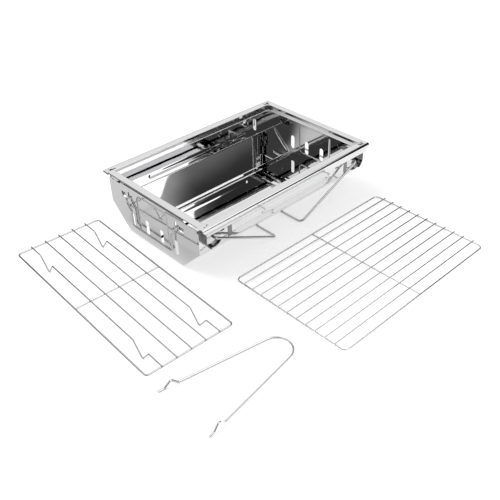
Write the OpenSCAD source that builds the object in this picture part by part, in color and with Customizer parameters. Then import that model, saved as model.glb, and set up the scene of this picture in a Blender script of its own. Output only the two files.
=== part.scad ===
// Folding charcoal grill: a sheet trough on two folding wire legs, two wire grates and a lifter.
// The origin is the middle of the trough's underside, +X runs along the trough and +Z is up.

/* [Trough] */
// Length over the rim
body_l = 430; // [400:5:480]
// Width over the rim
body_w = 290; // [280:2:320]
// Height from the underside to the top of the rim
body_h = 106; // [102:1:120]
// Width of the flat bottom
bottom_w = 160; // [140:2:180]
// Thickness of all folded sheet
sheet_t = 1; // [0.6:0.1:1.2]
// Slope of the lower side walls
slant_a = 45; // [42:1:50]
// Distance from an end of the side wall's stiffening bead to the leg pivot
bead_end_in = 53.8; // [50:0.1:80]
// Height of the bead across
bead_h = 12.5; // [8:0.5:14]
// Middle of the bead above the bend of the wall
bead_up = 14; // [12:0.5:17]
// How far the bead stands out
bead_d = 1.2; // [0.8:0.1:1.6]

/* [Rim] */
// Width of a long rail's flat top
rail_w = 17.7; // [16.5:0.1:20]
// Depth of the rail's outer lip
rail_lip_h = 15.5; // [12:0.5:18]
// Radius of the rail's rolled outer edge
rail_edge_r = 4; // [2:0.5:5]
// Height of the folded hem on the lip
hem_h = 3; // [2:0.5:5]
// Length of the slanting cut at each end of the lip
rail_cut_l = 9; // [4:0.5:14]
// Width of the flat top of an end rim
end_rim_w = 14.5; // [13:0.5:18]
// Depth of the turned edge of an end rim
end_edge_h = 1.5; // [1.2:0.1:2]
// Length of the corner tab that tucks under a rail
tab_l = 12; // [8:0.5:13]
// Depth of the step that the cooking grate drops into
step_h = 9; // [8:0.5:11]
// Width of the ledge that carries the cooking grate
ledge_w = 6.3; // [5:0.1:8]
// Depth of the ledge's inner lip
ledge_lip_h = 7; // [4:0.5:9]
// Radius of a weld mark on the rim
weld_r = 1.5; // [1:0.1:2]

/* [End plates] */
// Gap under the end rim's edge in the middle of the plate
plate_gap = 3; // [2:0.5:5]
// Gap under the end rim's edge near the corners
corner_gap = 7; // [5:0.5:9]
// Width of the low shoulder at each end of the plate's top edge
plate_shoulder_w = 37; // [27:1:47]
// Depth of the flanges turned inwards
plate_flange_w = 8; // [5:0.5:10]
// Width of a side flap
flap_w = 7.3; // [5:0.1:7.5]
// Length of the lower flap's slanting edge along the trough
low_flap_w = 11; // [8:0.5:11.5]
// Bottom and top of the lower flap, below the rim's top
low_flap_drop = [57, 36]; // [36:1:57]
// Bottom and top of the upper flap, below the rim's top
high_flap_drop = [30, 14]; // [13:1:32]
// Distance from the pressed panel's side to the middle of the handle's crank
panel_side_in = 23.3; // [20:0.1:28]
// Bottom of the pressed panel above the underside
panel_low_z = 14; // [12:1:16]
// Top of the pressed panel below the rim's top
panel_drop = 12; // [12:1:16]
// Corner radius of the pressed panel
panel_r = 12; // [6:1:16]
// Depth of the pressed panel
panel_d = 1.2; // [0.8:0.1:1.5]
// Width of an air slot
slot_w = 10; // [7:0.5:12]
// Bottom and top of an air slot
slot_z = [17, 47.5]; // [17:0.5:50]
// Distance between air slots
slot_pitch = 43; // [40:0.5:46]
// Bottom and top of the square window, below the rim's top
window_drop = [34, 22]; // [22:1:34]

/* [Legs] */
// Diameter of the leg wire
leg_d = 4.8; // [4:0.1:5.4]
// Distance of a leg pivot in from the rim's end
leg_pivot_in = 30.2; // [29.5:0.1:38]
// Depth of the leg pivots below the rim's top
leg_pivot_drop = 31.5; // [29:0.5:34]
// Distance from a pivot to its crossbar, along the trough
leg_reach = 150.8; // [140:0.2:155]
// Distance from the wall out to the middle of a leg's arm at the pivot
leg_top_out = 11.5; // [10:0.1:13]
// Distance from the wall out to the middle of a leg's arm at the crossbar
leg_foot_out = 4.5; // [2:0.1:7]
// Bend radius at the crossbar
leg_foot_bend = 10; // [6:1:14]
// Bend radius at the pivot
leg_pivot_bend = 4; // [3:0.5:5]
// Lean past upright when unfolded
leg_splay_a = 20; // [12:1:24]
// Radius of a leg bracket
bracket_r = 20.6; // [18:0.1:21]
// Thickness of a leg bracket
bracket_t = 1.2; // [1:0.1:1.5]
// Reach of the bracket's shallow flange
bracket_flange_w = 7.2; // [4:0.1:7.4]
// Reach of the bracket's stop flange
bracket_stop_w = 12; // [10:0.5:13]
// Distance of a leg stop inboard of the leg pivot
stop_in = 32.8; // [29:0.1:37]
// Width of a leg stop
stop_w = 9; // [6:0.5:12]
// Length of the leg stop's pad on the wall
stop_pad_h = 11; // [8:0.5:14]

/* [Handles] */
// Diameter of the handle wire
handle_d = 4; // [3:0.1:4.4]
// Depth of the handle pivot below the rim's top
handle_pivot_drop = 27; // [26:0.5:28]
// Distance of the handle pivot inside the end plate's outer face
handle_pivot_in = 3.6; // [3.4:0.1:4]
// Distance of the hanging bar outside the end plate's outer face
handle_out = 5; // [4:0.5:7]
// Distance from the side wall in to the middle of a handle's crank
crank_in = 58.7; // [58:0.1:61]
// How far each side of a handle leans inwards from crank to bar
handle_lean = 10.3; // [5:0.1:16]
// Distance from the pivot down to the bar
handle_drop = 55; // [45:1:60]
// Bottom and top of the slanting part, below the pivot
handle_jog = [22, 9]; // [9:1:26]
// Bend radius of the handle
handle_bend = 4; // [3:0.5:5]
// Width between the two ears of a lug, outside
lug_w = 20.4; // [19:0.1:21]
// Length of a lug along the plate
lug_l = 30; // [28:0.5:31]
// Bottom and top of a lug, below the rim's top
lug_drop = [35, 21]; // [20:1:36]
// Thickness of a lug
lug_t = 1.4; // [1:0.1:1.6]

/* [Cooking grate] */
// Distance from the cooking grate's end wire to the rim's inner drop
cook_end_gap = 8.5; // [5:0.5:12]
// Number of bars inside the frame
cook_bars = 11; // [7:1:15]
// Diameter of the frame wire
cook_frame_d = 2.8; // [2.4:0.1:3.6]
// Diameter of a bar
cook_bar_d = 2.4; // [2:0.1:3]
// Corner radius of the frame
cook_corner_r = 9; // [5:1:20]
// How far the bars run past the frame's middle
bar_overhang = 2.5; // [1.5:0.5:4]
// Distance between the rim and the cooking grate beside it
cook_apart = 28.1; // [10:0.1:60]
// How far the cooking grate is shifted along the trough
cook_shift = 18.5; // [0:0.5:40]
// Turn of the grate on the surface
cook_turn = -0.62; // [-3:0.01:3]

/* [Charcoal grate] */
// Distance from the charcoal grate's end wire to the end plate
coal_end_gap = 13.5; // [8:0.5:28]
// How far the charcoal grate reaches past each side of the flat bottom
coal_side_out = 1; // [0:0.5:9]
// Number of bars inside the frame
coal_bars = 5; // [5:2:7]
// Diameter of the frame wire
coal_frame_d = 3; // [2.6:0.1:4]
// Diameter of a bar
coal_bar_d = 2.4; // [2:0.1:3]
// Corner radius of the frame
coal_corner_r = 6; // [4:1:16]
// Distance of a foot from the grate's end wire
foot_in = 54; // [45:1:80]
// Width of a foot where it leaves the bar
foot_w = 42; // [30:1:50]
// Depth of a foot's two slants to their meeting point
foot_h = 25.5; // [18:0.5:30]
// Bend radius of a foot
foot_bend = 3; // [2:0.5:4]
// Distance between the rim and the charcoal grate beside it
coal_apart = 44.1; // [30:0.1:80]
// Distance of the charcoal grate's near end in front of the rim
coal_ahead = 121.4; // [60:0.1:125]
// Turn of the grate on the surface
coal_turn = -2.44; // [-4:0.01:4]

/* [Lifter] */
// Diameter of the lifter's wire
lifter_d = 3.5; // [3:0.1:4]
// Radius of the lifter's bow, at the wire's middle
lifter_bow_r = 27; // [20:1:34]
// Angle by which each arm opens
lifter_open_a = 9.5; // [2:0.5:14]
// Length of an arm's straight part
lifter_arm_l = 155; // [120:1:180]
// Length of the hump near the tip
hump_l = 22; // [16:1:30]
// Height of the hump
hump_h = 11; // [6:0.5:14]
// Length of the flat tip
tip_l = 11; // [6:1:16]
// Bend radius of the hump
hump_bend = 3.5; // [3:0.5:4]
// Distance between the bow's centre and the cooking grate's end wire
lifter_apart = 72.5; // [50:0.5:100]
// Distance of the bow's centre in front of the rim
lifter_ahead = 197.5; // [195:0.5:230]
// Turn of the lifter on the surface
lifter_turn = -1; // [-6:0.1:6]

/* [Clearances] */
// Gap between pieces that move past each other
run_gap = 0.3; // [0.2:0.05:0.5]
// Clearance round a wire that turns in a bore
bore_gap = 0.05; // [0.03:0.01:0.08]
// Clearance of the leg wire in the wall's hole
wall_hole_gap = 0.4; // [0.2:0.05:0.8]
// Gap between the cooking grate and the rim's inner drop
cook_gap = 0.4; // [0.3:0.1:1.5]
// How far one welded wire sinks into another
weld_sink = 0.15; // [0.05:0.05:0.3]

/* [Hidden] */
$fn = 48;

// Overrun of every cut past the face it opens
over = 0.5;
// Length and thickness of the sleeve over a seam in a wire
seam_l = 0.6;
seam_t = 0.03;
// Length by which a leg's end stands inside the wall
leg_end_l = 3;
// Gap between the rail's drop and the wall's outer face
drop_gap = 0.3;
// Gap between the window and the lug's ears
window_gap = 3;
// Width of the slot round a handle's crank, beyond the wire
crank_gap = 0.5;
// How far a handle's end stands past its lug
handle_end_l = 2.5;
// Gap between a crank and the nearest ear
crank_ear_gap = 2.6;
// Gap between the ledge and the top of a bracket or stop
under_ledge_gap = 1;
// Depth of a weld mark
weld_mark_d = 0.3;
// Places of the two weld marks at a corner, in from the rail's end and from its outer edge
weld_spots = [[10, 9], [18, 11.5]];
// Radius of a lug's lower corners
lug_corner_r = 5;
// Angle between the folded arm and the end of the bracket's flange
flange_end_a = 2;
// Height of the plate's outline where the flaps begin
flap_step_z = 1;

// Derived sizes of the trough
open_half = body_w / 2 - rail_w;
wall_y = open_half - drop_gap;
bottom_y = bottom_w / 2;
bend_z = (wall_y - bottom_y) * tan(slant_a);
ledge_z = body_h - step_h;
wall_top_z = ledge_z - sheet_t;
plate_x = body_l / 2 - sheet_t / 2 - sheet_t;
plate_out_x = plate_x + sheet_t;
leg_pivot_x = body_l / 2 - leg_pivot_in;
leg_pivot_z = body_h - leg_pivot_drop;
bead_z = bend_z + bead_up;
bead_half = leg_pivot_x - bead_end_in;
rim_in_x = body_l / 2 - end_rim_w;
ledge_in_x = rim_in_x - ledge_w + drop_gap;

// Derived sizes of the legs
leg_r = leg_d / 2;
cross_z = -(run_gap + leg_r);
floor_z = cross_z - leg_r;
fold_a = atan((leg_pivot_z - cross_z) / leg_reach);
bracket_in_r = bracket_r - bracket_t;
arm_clear_a = asin((leg_r + run_gap) / bracket_in_r);
flange_from_a = 270 - leg_splay_a - arm_clear_a;
flange_to_a = 360 - fold_a - arm_clear_a - flange_end_a;
hang_top_z = wall_top_z - under_ledge_gap;
leg_top_y = wall_y + leg_top_out;
leg_foot_y = wall_y + leg_foot_out;
stop_x = leg_pivot_x - stop_in;
stop_out_x = stop_x + stop_w / 2;
stop_bottom_z = leg_pivot_z - (leg_pivot_x - stop_out_x) * tan(fold_a) + leg_r / cos(fold_a) + run_gap;
stop_out_y = leg_top_y - run_gap;

// Derived sizes of the handles
handle_r = handle_d / 2;
handle_pivot_x = plate_out_x - handle_pivot_in;
handle_bar_x = plate_out_x + handle_out;
handle_pivot_z = body_h - handle_pivot_drop;
crank_y = wall_y - crank_in;
crank_l = handle_bar_x - handle_pivot_x;
ear_in_y = crank_y + handle_r + crank_ear_gap;
ear_out_y = ear_in_y + lug_w;
lug_mid_y = (ear_in_y + ear_out_y) / 2;
lug_x = handle_pivot_x - handle_r - run_gap - lug_t;
lug_low_z = body_h - lug_drop[0];
lug_top_z = body_h - lug_drop[1];

// Derived sizes of the loose pieces
cook_l = 2 * (rim_in_x - cook_end_gap);
cook_w = 2 * (open_half - cook_gap) - cook_frame_d;
cook_at = [cook_shift, -(body_w / 2 + cook_apart + cook_w / 2)];
cook_z = floor_z + cook_frame_d / 2;
cook_bar_z = cook_z + (cook_frame_d + cook_bar_d) / 2 - weld_sink;
foot_a = atan(2 * foot_h / foot_w);
coal_bar_z = floor_z + coal_bar_d / 2 + foot_h - foot_bend * (1 / cos(foot_a) - 1);
coal_z = coal_bar_z - (coal_frame_d + coal_bar_d) / 2 + weld_sink;
coal_l = 2 * (plate_x - coal_end_gap);
coal_w = bottom_w + 2 * coal_side_out;
coal_at = [-(body_l / 2 + coal_apart + coal_w / 2), coal_l / 2 - body_w / 2 - coal_ahead];
coal_pitch = coal_w / (coal_bars + 1);
lifter_at = [cook_shift - cook_l / 2 - lifter_apart, -(body_w / 2 + lifter_ahead)];
lifter_z = floor_z + lifter_d / 2;

function unit(v) = v / norm(v);
function heading(points, i) = unit(points[i + 1] - points[i]);
function turn_at(points, i) = acos(heading(points, i - 1) * heading(points, i));
// Length that a bend takes from each of the two straights that meet at a corner
function bend_cut(points, bends, i) =
    (i == 0 || i == len(points) - 1) ? 0 : bends[i] * tan(turn_at(points, i) / 2);

// One straight length of round wire
module straight(from, to, r) {
    run = to - from;
    translate(from)
        rotate([0, acos(run.z / norm(run)), atan2(run.y, run.x)])
            cylinder(h = norm(run), r = r);
}

// One bend of round wire at a corner point
module elbow(corner, into, out, bend, r) {
    angle = acos(into * out);
    axis = unit(cross(into, out));
    inward = cross(axis, into);
    centre = corner - into * bend * tan(angle / 2) + inward * bend;
    multmatrix([[-inward.x, into.x, axis.x, centre.x],
        [-inward.y, into.y, axis.y, centre.y],
        [-inward.z, into.z, axis.z, centre.z],
        [0, 0, 0, 1]])
        rotate_extrude(angle = angle)
            translate([bend, 0])
                circle(r = r);
}

// Thin sleeve over the seam between a straight and a bend, so that they join as one solid
module seam(at, way, r) {
    straight(at - way * seam_l / 2, at + way * seam_l / 2, r + seam_t);
}

// Round wire along a list of corner points, with one bend radius for each point
module wire(points, bends, r) {
    for (i = [0 : len(points) - 2])
        straight(points[i] + heading(points, i) * bend_cut(points, bends, i),
            points[i + 1] - heading(points, i) * bend_cut(points, bends, i + 1), r);
    for (i = [1 : len(points) - 2]) {
        cut = bend_cut(points, bends, i);
        elbow(points[i], heading(points, i - 1), heading(points, i), bends[i], r);
        seam(points[i] - heading(points, i - 1) * cut, heading(points, i - 1), r);
        seam(points[i] + heading(points, i) * cut, heading(points, i), r);
    }
}

// Closed wire frame with round corners, lying flat around the origin
module wire_frame(l, w, corner_r, r) {
    corners = [[0, -w / 2, 0], [l / 2, -w / 2, 0], [l / 2, w / 2, 0], [-l / 2, w / 2, 0],
        [-l / 2, -w / 2, 0], [0, -w / 2, 0]];
    wire(corners, [0, corner_r, corner_r, corner_r, corner_r, 0], r);
}

// Flat slot outline with round ends, standing between two heights
module slot_outline(width, low, high) {
    translate([-width / 2, low + width / 2])
        square([width, high - low - width]);
    for (z = [low + width / 2, high - width / 2])
        translate([0, z])
            circle(d = width);
}

// Flat rounded rectangle, centred across and standing between two heights
module rounded_outline(width, low, high, r) {
    translate([-width / 2, low + r])
        square([width, high - low - 2 * r]);
    translate([-width / 2 + r, low])
        square([width - 2 * r, high - low]);
    for (u = [-width / 2 + r, width / 2 - r], z = [low + r, high - r])
        translate([u, z])
            circle(r = r);
}

// Stands a flat (y, z) outline up and runs it along X between two places
module along_x(from, to) {
    translate([from, 0, 0])
        rotate([90, 0, 90])
            linear_extrude(to - from)
                children();
}

// Stands a flat (x, z) outline up and runs it along Y between two places
module along_y(from, to) {
    translate([0, to, 0])
        rotate([90, 0, 0])
            linear_extrude(to - from)
                children();
}

// Mirrors a piece drawn at the right or far side to the left or near side
module at_side(left, near) {
    mirror([left ? 1 : 0, 0, 0])
        mirror([0, near ? 1 : 0, 0])
            children();
}

// Cross-section of the trough, outside or inside face
module trough_outline(inset) {
    foot_y = bottom_y - inset * tan(slant_a / 2);
    knee_z = bend_z + inset * tan(45 - slant_a / 2);
    top_z = wall_top_z + inset;
    polygon([[foot_y, inset], [wall_y - inset, knee_z], [wall_y - inset, top_z],
        [-wall_y + inset, top_z], [-wall_y + inset, knee_z], [-foot_y, inset]]);
}

// Outline of the wall's bead, drawn inset from its edge
module bead_outline(inset) {
    round_x = bead_half - bead_h / 2;
    square([2 * round_x, bead_h - 2 * inset], center = true);
    for (x = [-round_x, round_x])
        translate([x, 0])
            circle(d = bead_h - 2 * inset);
}

module trough_shell() {
    color("gainsboro")
        difference() {
            union() {
                along_x(-plate_x, plate_x)
                    difference() {
                        trough_outline(0);
                        trough_outline(sheet_t);
                    }
                for (near = [false, true])
                    at_side(false, near)
                        along_y(wall_y - sheet_t / 2, wall_y + bead_d)
                            translate([0, bead_z])
                                bead_outline(0);
            }
            for (near = [false, true])
                at_side(false, near) {
                    along_y(wall_y - sheet_t - over, wall_y + bead_d - sheet_t)
                        translate([0, bead_z])
                            bead_outline(sheet_t);
                    for (x = [-leg_pivot_x, leg_pivot_x])
                        along_y(wall_y - sheet_t - over, wall_y + over)
                            translate([x, leg_pivot_z])
                                circle(r = leg_r + wall_hole_gap);
                }
        }
}

// Outline of an end plate, with its raised top edge and the step for the flaps
module plate_outline() {
    edge_z = body_h - end_edge_h;
    flap_y = wall_y + sheet_t;
    flap_z = bend_z + flap_step_z;
    top_y = wall_y - plate_shoulder_w;
    half = [[bottom_y, 0], [wall_y, bend_z], [wall_y, flap_z], [flap_y, flap_z],
        [flap_y, edge_z - corner_gap], [top_y + plate_gap, edge_z - corner_gap],
        [top_y, edge_z - plate_gap]];
    other = [for (i = [len(half) - 1 : -1 : 0]) [-half[i].x, half[i].y]];
    polygon(concat(half, other));
}

module end_plate(left) {
    top_z = body_h - end_edge_h - plate_gap;
    edge_z = body_h - end_edge_h;
    flap_x = plate_out_x - flap_w - sheet_t;
    low_x = plate_out_x - low_flap_w - sheet_t;
    low_flap_z = body_h - low_flap_drop[0];
    high_flap_z = body_h - high_flap_drop[0];
    top_y = wall_y - plate_shoulder_w;
    panel_w = 2 * (crank_y - panel_side_in);
    panel_top_z = body_h - panel_drop;
    color("silver")
        at_side(left, false)
            difference() {
                union() {
                    along_x(plate_x, plate_out_x)
                        plate_outline();
                    along_x(plate_x - panel_d, plate_out_x)
                        rounded_outline(panel_w, panel_low_z, panel_top_z, panel_r);
                    // Flanges turned inwards at the bottom and along the top edge
                    translate([plate_x - plate_flange_w, -bottom_y + 2 * sheet_t, sheet_t])
                        cube([plate_flange_w + sheet_t, bottom_w - 4 * sheet_t, sheet_t]);
                    translate([plate_x - plate_flange_w, -top_y, top_z - sheet_t])
                        cube([plate_flange_w + sheet_t, 2 * top_y, sheet_t]);
                    // Flaps turned round onto the side walls
                    for (near = [false, true])
                        at_side(false, near)
                            along_y(wall_y, wall_y + sheet_t) {
                                polygon([[plate_out_x, low_flap_z], [low_x, low_flap_z],
                                    [plate_x, body_h - low_flap_drop[1]],
                                    [plate_out_x, body_h - low_flap_drop[1]]]);
                                translate([flap_x, high_flap_z])
                                    square([flap_w + sheet_t,
                                        high_flap_drop[0] - high_flap_drop[1]]);
                            }
                }
                // Hollow of the pressed panel
                along_x(plate_out_x - panel_d, plate_out_x + over)
                    rounded_outline(panel_w - 2 * sheet_t, panel_low_z + sheet_t,
                        panel_top_z - sheet_t, panel_r - sheet_t);
                // Air slots
                for (k = [-1.5 : 1 : 1.5])
                    along_x(plate_x - panel_d - over, plate_out_x + over)
                        translate([k * slot_pitch, 0])
                            slot_outline(slot_w, slot_z[0], slot_z[1]);
                // Square windows and the slots that the handle's cranks swing in
                for (near = [false, true])
                    at_side(false, near)
                        along_x(plate_x - over, plate_out_x + over) {
                            translate([ear_in_y + lug_t + window_gap, body_h - window_drop[0]])
                                square([lug_w - 2 * lug_t - window_gap - lug_t,
                                    window_drop[0] - window_drop[1]]);
                            translate([crank_y - handle_r - crank_gap,
                                handle_pivot_z - handle_r - run_gap])
                                square([handle_d + 2 * crank_gap,
                                    crank_l + handle_d + 2 * run_gap]);
                        }
            }
}

// Cross-section of a rail's outer half: flat top, rolled edge, lip and hem
module rail_top_outline() {
    out_y = body_w / 2;
    roll_y = out_y - rail_edge_r;
    roll_z = body_h - rail_edge_r;
    low_z = body_h - rail_lip_h;
    translate([open_half, body_h - sheet_t])
        square([roll_y - open_half, sheet_t]);
    intersection() {
        translate([roll_y, roll_z])
            difference() {
                circle(r = rail_edge_r);
                circle(r = rail_edge_r - sheet_t);
            }
        translate([roll_y, roll_z])
            square(rail_edge_r);
    }
    translate([out_y - sheet_t, low_z])
        square([sheet_t, roll_z - low_z]);
    translate([out_y - 2 * sheet_t, low_z])
        square([2 * sheet_t, hem_h]);
}

module rail(near) {
    out_y = body_w / 2;
    roll_z = body_h - rail_edge_r;
    low_z = body_h - rail_lip_h;
    end_x = body_l / 2;
    color("whitesmoke")
        at_side(false, near)
            difference() {
                union() {
                    along_x(-end_x, end_x)
                        rail_top_outline();
                    // Inner drop, with the ledge and its lip between the end rims
                    translate([-rim_in_x, open_half, wall_top_z])
                        cube([2 * rim_in_x, sheet_t, body_h - wall_top_z]);
                    translate([-ledge_in_x, open_half - ledge_w, wall_top_z])
                        cube([2 * ledge_in_x, ledge_w + sheet_t, sheet_t]);
                    translate([-ledge_in_x, open_half - ledge_w, ledge_z - ledge_lip_h])
                        cube([2 * ledge_in_x, sheet_t, ledge_lip_h]);
                }
                // Slanting cuts at the lip's ends, and the weld marks
                for (left = [false, true])
                    at_side(left, false) {
                        along_y(out_y - 2 * sheet_t - over, out_y + over)
                            polygon([[end_x + over, roll_z], [end_x, roll_z],
                                [end_x - rail_cut_l, low_z - over], [end_x + over, low_z - over]]);
                        for (spot = weld_spots)
                            translate([end_x - spot[0], out_y - spot[1], body_h - weld_mark_d])
                                cylinder(h = weld_mark_d + over, r = weld_r);
                    }
            }
}

module end_rim(left) {
    out_x = body_l / 2;
    top_z = body_h - sheet_t;
    tab_x = rim_in_x + sheet_t;
    color("whitesmoke")
        at_side(left, false) {
            // Flat top with its turned edge
            translate([rim_in_x, -open_half, top_z])
                cube([end_rim_w, 2 * open_half, sheet_t]);
            translate([out_x - sheet_t, -open_half, body_h - end_edge_h])
                cube([sheet_t, 2 * open_half, end_edge_h]);
            // Inner drop, ledge and lip
            translate([rim_in_x, -open_half, wall_top_z])
                cube([sheet_t, 2 * open_half, body_h - wall_top_z]);
            translate([ledge_in_x, -open_half, wall_top_z])
                cube([rim_in_x + sheet_t - ledge_in_x, 2 * open_half, sheet_t]);
            translate([ledge_in_x, -(open_half - ledge_w), ledge_z - ledge_lip_h])
                cube([sheet_t, 2 * (open_half - ledge_w), ledge_lip_h]);
            // Corner tabs tucked under the rails
            for (near = [false, true])
                at_side(false, near)
                    translate([tab_x, open_half - 2 * sheet_t, top_z - sheet_t])
                        cube([end_rim_w - 2 * sheet_t, tab_l + 2 * sheet_t, sheet_t]);
        }
}

// Outline of a leg bracket around its pivot: half a disc with straight sides going up
module bracket_outline(r) {
    circle(r = r);
    translate([-r, 0])
        square([2 * r, hang_top_z - leg_pivot_z]);
}

// Pie slice between two angles, wide enough to cut a ring of the bracket's size
module slice(from, to) {
    reach = 2 * bracket_r;
    mid = (from + to) / 2;
    polygon([[0, 0], [reach * cos(from), reach * sin(from)], [reach * cos(mid), reach * sin(mid)],
        [reach * cos(to), reach * sin(to)]]);
}

// Bracket of a leg pivot, drawn for the far left corner, where angles run from inboard
module leg_bracket(left, near) {
    color("lightgray")
        at_side(!left, near)
            translate([-leg_pivot_x, 0, leg_pivot_z]) {
                difference() {
                    along_y(wall_y, wall_y + bracket_t)
                        bracket_outline(bracket_r);
                    along_y(wall_y - over, wall_y + bracket_t + over)
                        circle(r = leg_r + bore_gap);
                }
                // Stop flange down the outboard side and round to the unfolded arm
                along_y(wall_y, wall_y + bracket_stop_w) {
                    translate([-bracket_r, 0])
                        square([bracket_t, hang_top_z - leg_pivot_z]);
                    intersection() {
                        difference() {
                            circle(r = bracket_r);
                            circle(r = bracket_in_r);
                        }
                        slice(180, flange_from_a);
                    }
                }
                // Shallow flange round the bottom, under the arm
                along_y(wall_y, wall_y + bracket_flange_w)
                    intersection() {
                        difference() {
                            circle(r = bracket_r);
                            circle(r = bracket_in_r);
                        }
                        slice(flange_from_a, flange_to_a);
                    }
            }
}

module leg_stop(left, near) {
    color("lightgray")
        at_side(left, near)
            along_x(stop_x - stop_w / 2, stop_out_x) {
                translate([wall_y, hang_top_z - stop_pad_h])
                    square([bracket_t, stop_pad_h]);
                translate([wall_y, hang_top_z - bracket_t])
                    square([stop_out_y - wall_y, bracket_t]);
                translate([stop_out_y - bracket_t, stop_bottom_z])
                    square([bracket_t, hang_top_z - stop_bottom_z]);
            }
}

module handle_lug(left, near) {
    color("lightgray")
        at_side(left, near)
            difference() {
                union() {
                    along_x(lug_x, lug_x + lug_t)
                        translate([lug_mid_y, 0])
                            rounded_outline(lug_l, lug_low_z, lug_top_z, lug_corner_r);
                    for (y = [ear_in_y, ear_out_y - lug_t])
                        translate([lug_x, y, lug_low_z + lug_t])
                            cube([plate_x - lug_x, lug_t, lug_top_z - lug_low_z - 2 * lug_t]);
                }
                translate([0, ear_in_y - over, 0])
                    along_y(0, lug_w + 2 * over)
                        translate([handle_pivot_x, handle_pivot_z])
                            circle(r = handle_r + bore_gap);
            }
}

module leg(left) {
    end_y = wall_y - sheet_t - leg_end_l;
    foot_x = leg_pivot_x - leg_reach;
    half = [[leg_pivot_x, end_y, leg_pivot_z], [leg_pivot_x, leg_top_y, leg_pivot_z],
        [foot_x, leg_foot_y, cross_z]];
    other = [for (i = [2 : -1 : 0]) [half[i].x, -half[i].y, half[i].z]];
    color("darkgray")
        at_side(left, false)
            wire(concat(half, other),
                [0, leg_pivot_bend, leg_foot_bend, leg_foot_bend, leg_pivot_bend, 0], leg_r);
}

module handle(left) {
    end_y = ear_out_y + handle_end_l;
    bar_y = crank_y - handle_lean;
    bar_z = handle_pivot_z - handle_drop;
    half = [[handle_pivot_x, end_y, handle_pivot_z], [handle_pivot_x, crank_y, handle_pivot_z],
        [handle_bar_x, crank_y, handle_pivot_z],
        [handle_bar_x, crank_y, handle_pivot_z - handle_jog[1]],
        [handle_bar_x, bar_y, handle_pivot_z - handle_jog[0]],
        [handle_bar_x, bar_y, bar_z]];
    other = [for (i = [len(half) - 1 : -1 : 0]) [half[i].x, -half[i].y, half[i].z]];
    bends = [for (i = [0 : 2 * len(half) - 1]) handle_bend];
    color("silver")
        at_side(left, false)
            wire(concat(half, other), bends, handle_r);
}

// Puts a loose piece in its place beside the trough
module laid_at(place, turn, z) {
    translate([place.x, place.y, z])
        rotate([0, 0, turn])
            children();
}

module cooking_grate_frame() {
    color("gray")
        laid_at(cook_at, cook_turn, cook_z)
            wire_frame(cook_l, cook_w, cook_corner_r, cook_frame_d / 2);
}

module cooking_grate_bars() {
    pitch = cook_w / (cook_bars + 1);
    reach = cook_l / 2 + bar_overhang;
    color("gray")
        laid_at(cook_at, cook_turn, cook_bar_z)
            for (k = [1 : cook_bars]) {
                y = k * pitch - cook_w / 2;
                straight([-reach, y, 0], [reach, y, 0], cook_bar_d / 2);
            }
}

module cooking_grate_crossbar() {
    reach = (cook_w - cook_frame_d) / 2 + weld_sink;
    color("gray")
        laid_at(cook_at, cook_turn, cook_bar_z - cook_bar_d + weld_sink)
            straight([0, -reach, 0], [0, reach, 0], cook_bar_d / 2);
}

module charcoal_grate_frame() {
    color("gray")
        laid_at(coal_at, coal_turn, coal_z)
            wire_frame(coal_w, coal_l, coal_corner_r, coal_frame_d / 2);
}

module charcoal_grate_bars() {
    reach = coal_l / 2 + bar_overhang;
    color("gray")
        laid_at(coal_at, coal_turn, coal_bar_z)
            for (k = [2 : coal_bars - 1]) {
                x = k * coal_pitch - coal_w / 2;
                straight([x, -reach, 0], [x, reach, 0], coal_bar_d / 2);
            }
}

module charcoal_grate_footed_bars() {
    reach = coal_l / 2 + bar_overhang;
    foot = [[-foot_w / 2, 0], [0, -foot_h], [foot_w / 2, 0]];
    foot_y = coal_l / 2 - foot_in;
    path = concat([[-reach, 0]], [for (p = foot) [p.x - foot_y, p.y]],
        [for (p = foot) [p.x + foot_y, p.y]], [[reach, 0]]);
    bends = [for (p = path) foot_bend];
    color("gray")
        laid_at(coal_at, coal_turn, coal_bar_z)
            for (k = [1, coal_bars]) {
                x = k * coal_pitch - coal_w / 2;
                wire([for (p = path) [x, p.x, p.y]], bends, coal_bar_d / 2);
            }
}

module charcoal_grate_crossbar() {
    reach = (coal_w - coal_frame_d) / 2 + weld_sink;
    color("gray")
        laid_at(coal_at, coal_turn, coal_bar_z - coal_bar_d + weld_sink)
            straight([-reach, 0, 0], [reach, 0, 0], coal_bar_d / 2);
}

module grate_lifter() {
    arm = [[0, 0], [lifter_arm_l, 0], [lifter_arm_l + hump_l / 2, hump_h],
        [lifter_arm_l + hump_l, 0], [lifter_arm_l + hump_l + tip_l, 0]];
    bends = [for (p = arm) hump_bend];
    color("gray")
        laid_at(lifter_at, lifter_turn, lifter_z) {
            rotate([0, 0, lifter_open_a - 90])
                rotate_extrude(angle = 180 - 2 * lifter_open_a)
                    translate([lifter_bow_r, 0])
                        circle(d = lifter_d);
            for (near = [false, true])
                at_side(false, near)
                    rotate([0, 0, -lifter_open_a])
                        translate([0, lifter_bow_r, 0]) {
                            wire([for (p = arm) [-p.x, 0, p.y]], bends, lifter_d / 2);
                            seam([0, 0, 0], [1, 0, 0], lifter_d / 2);
                        }
        }
}

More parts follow.
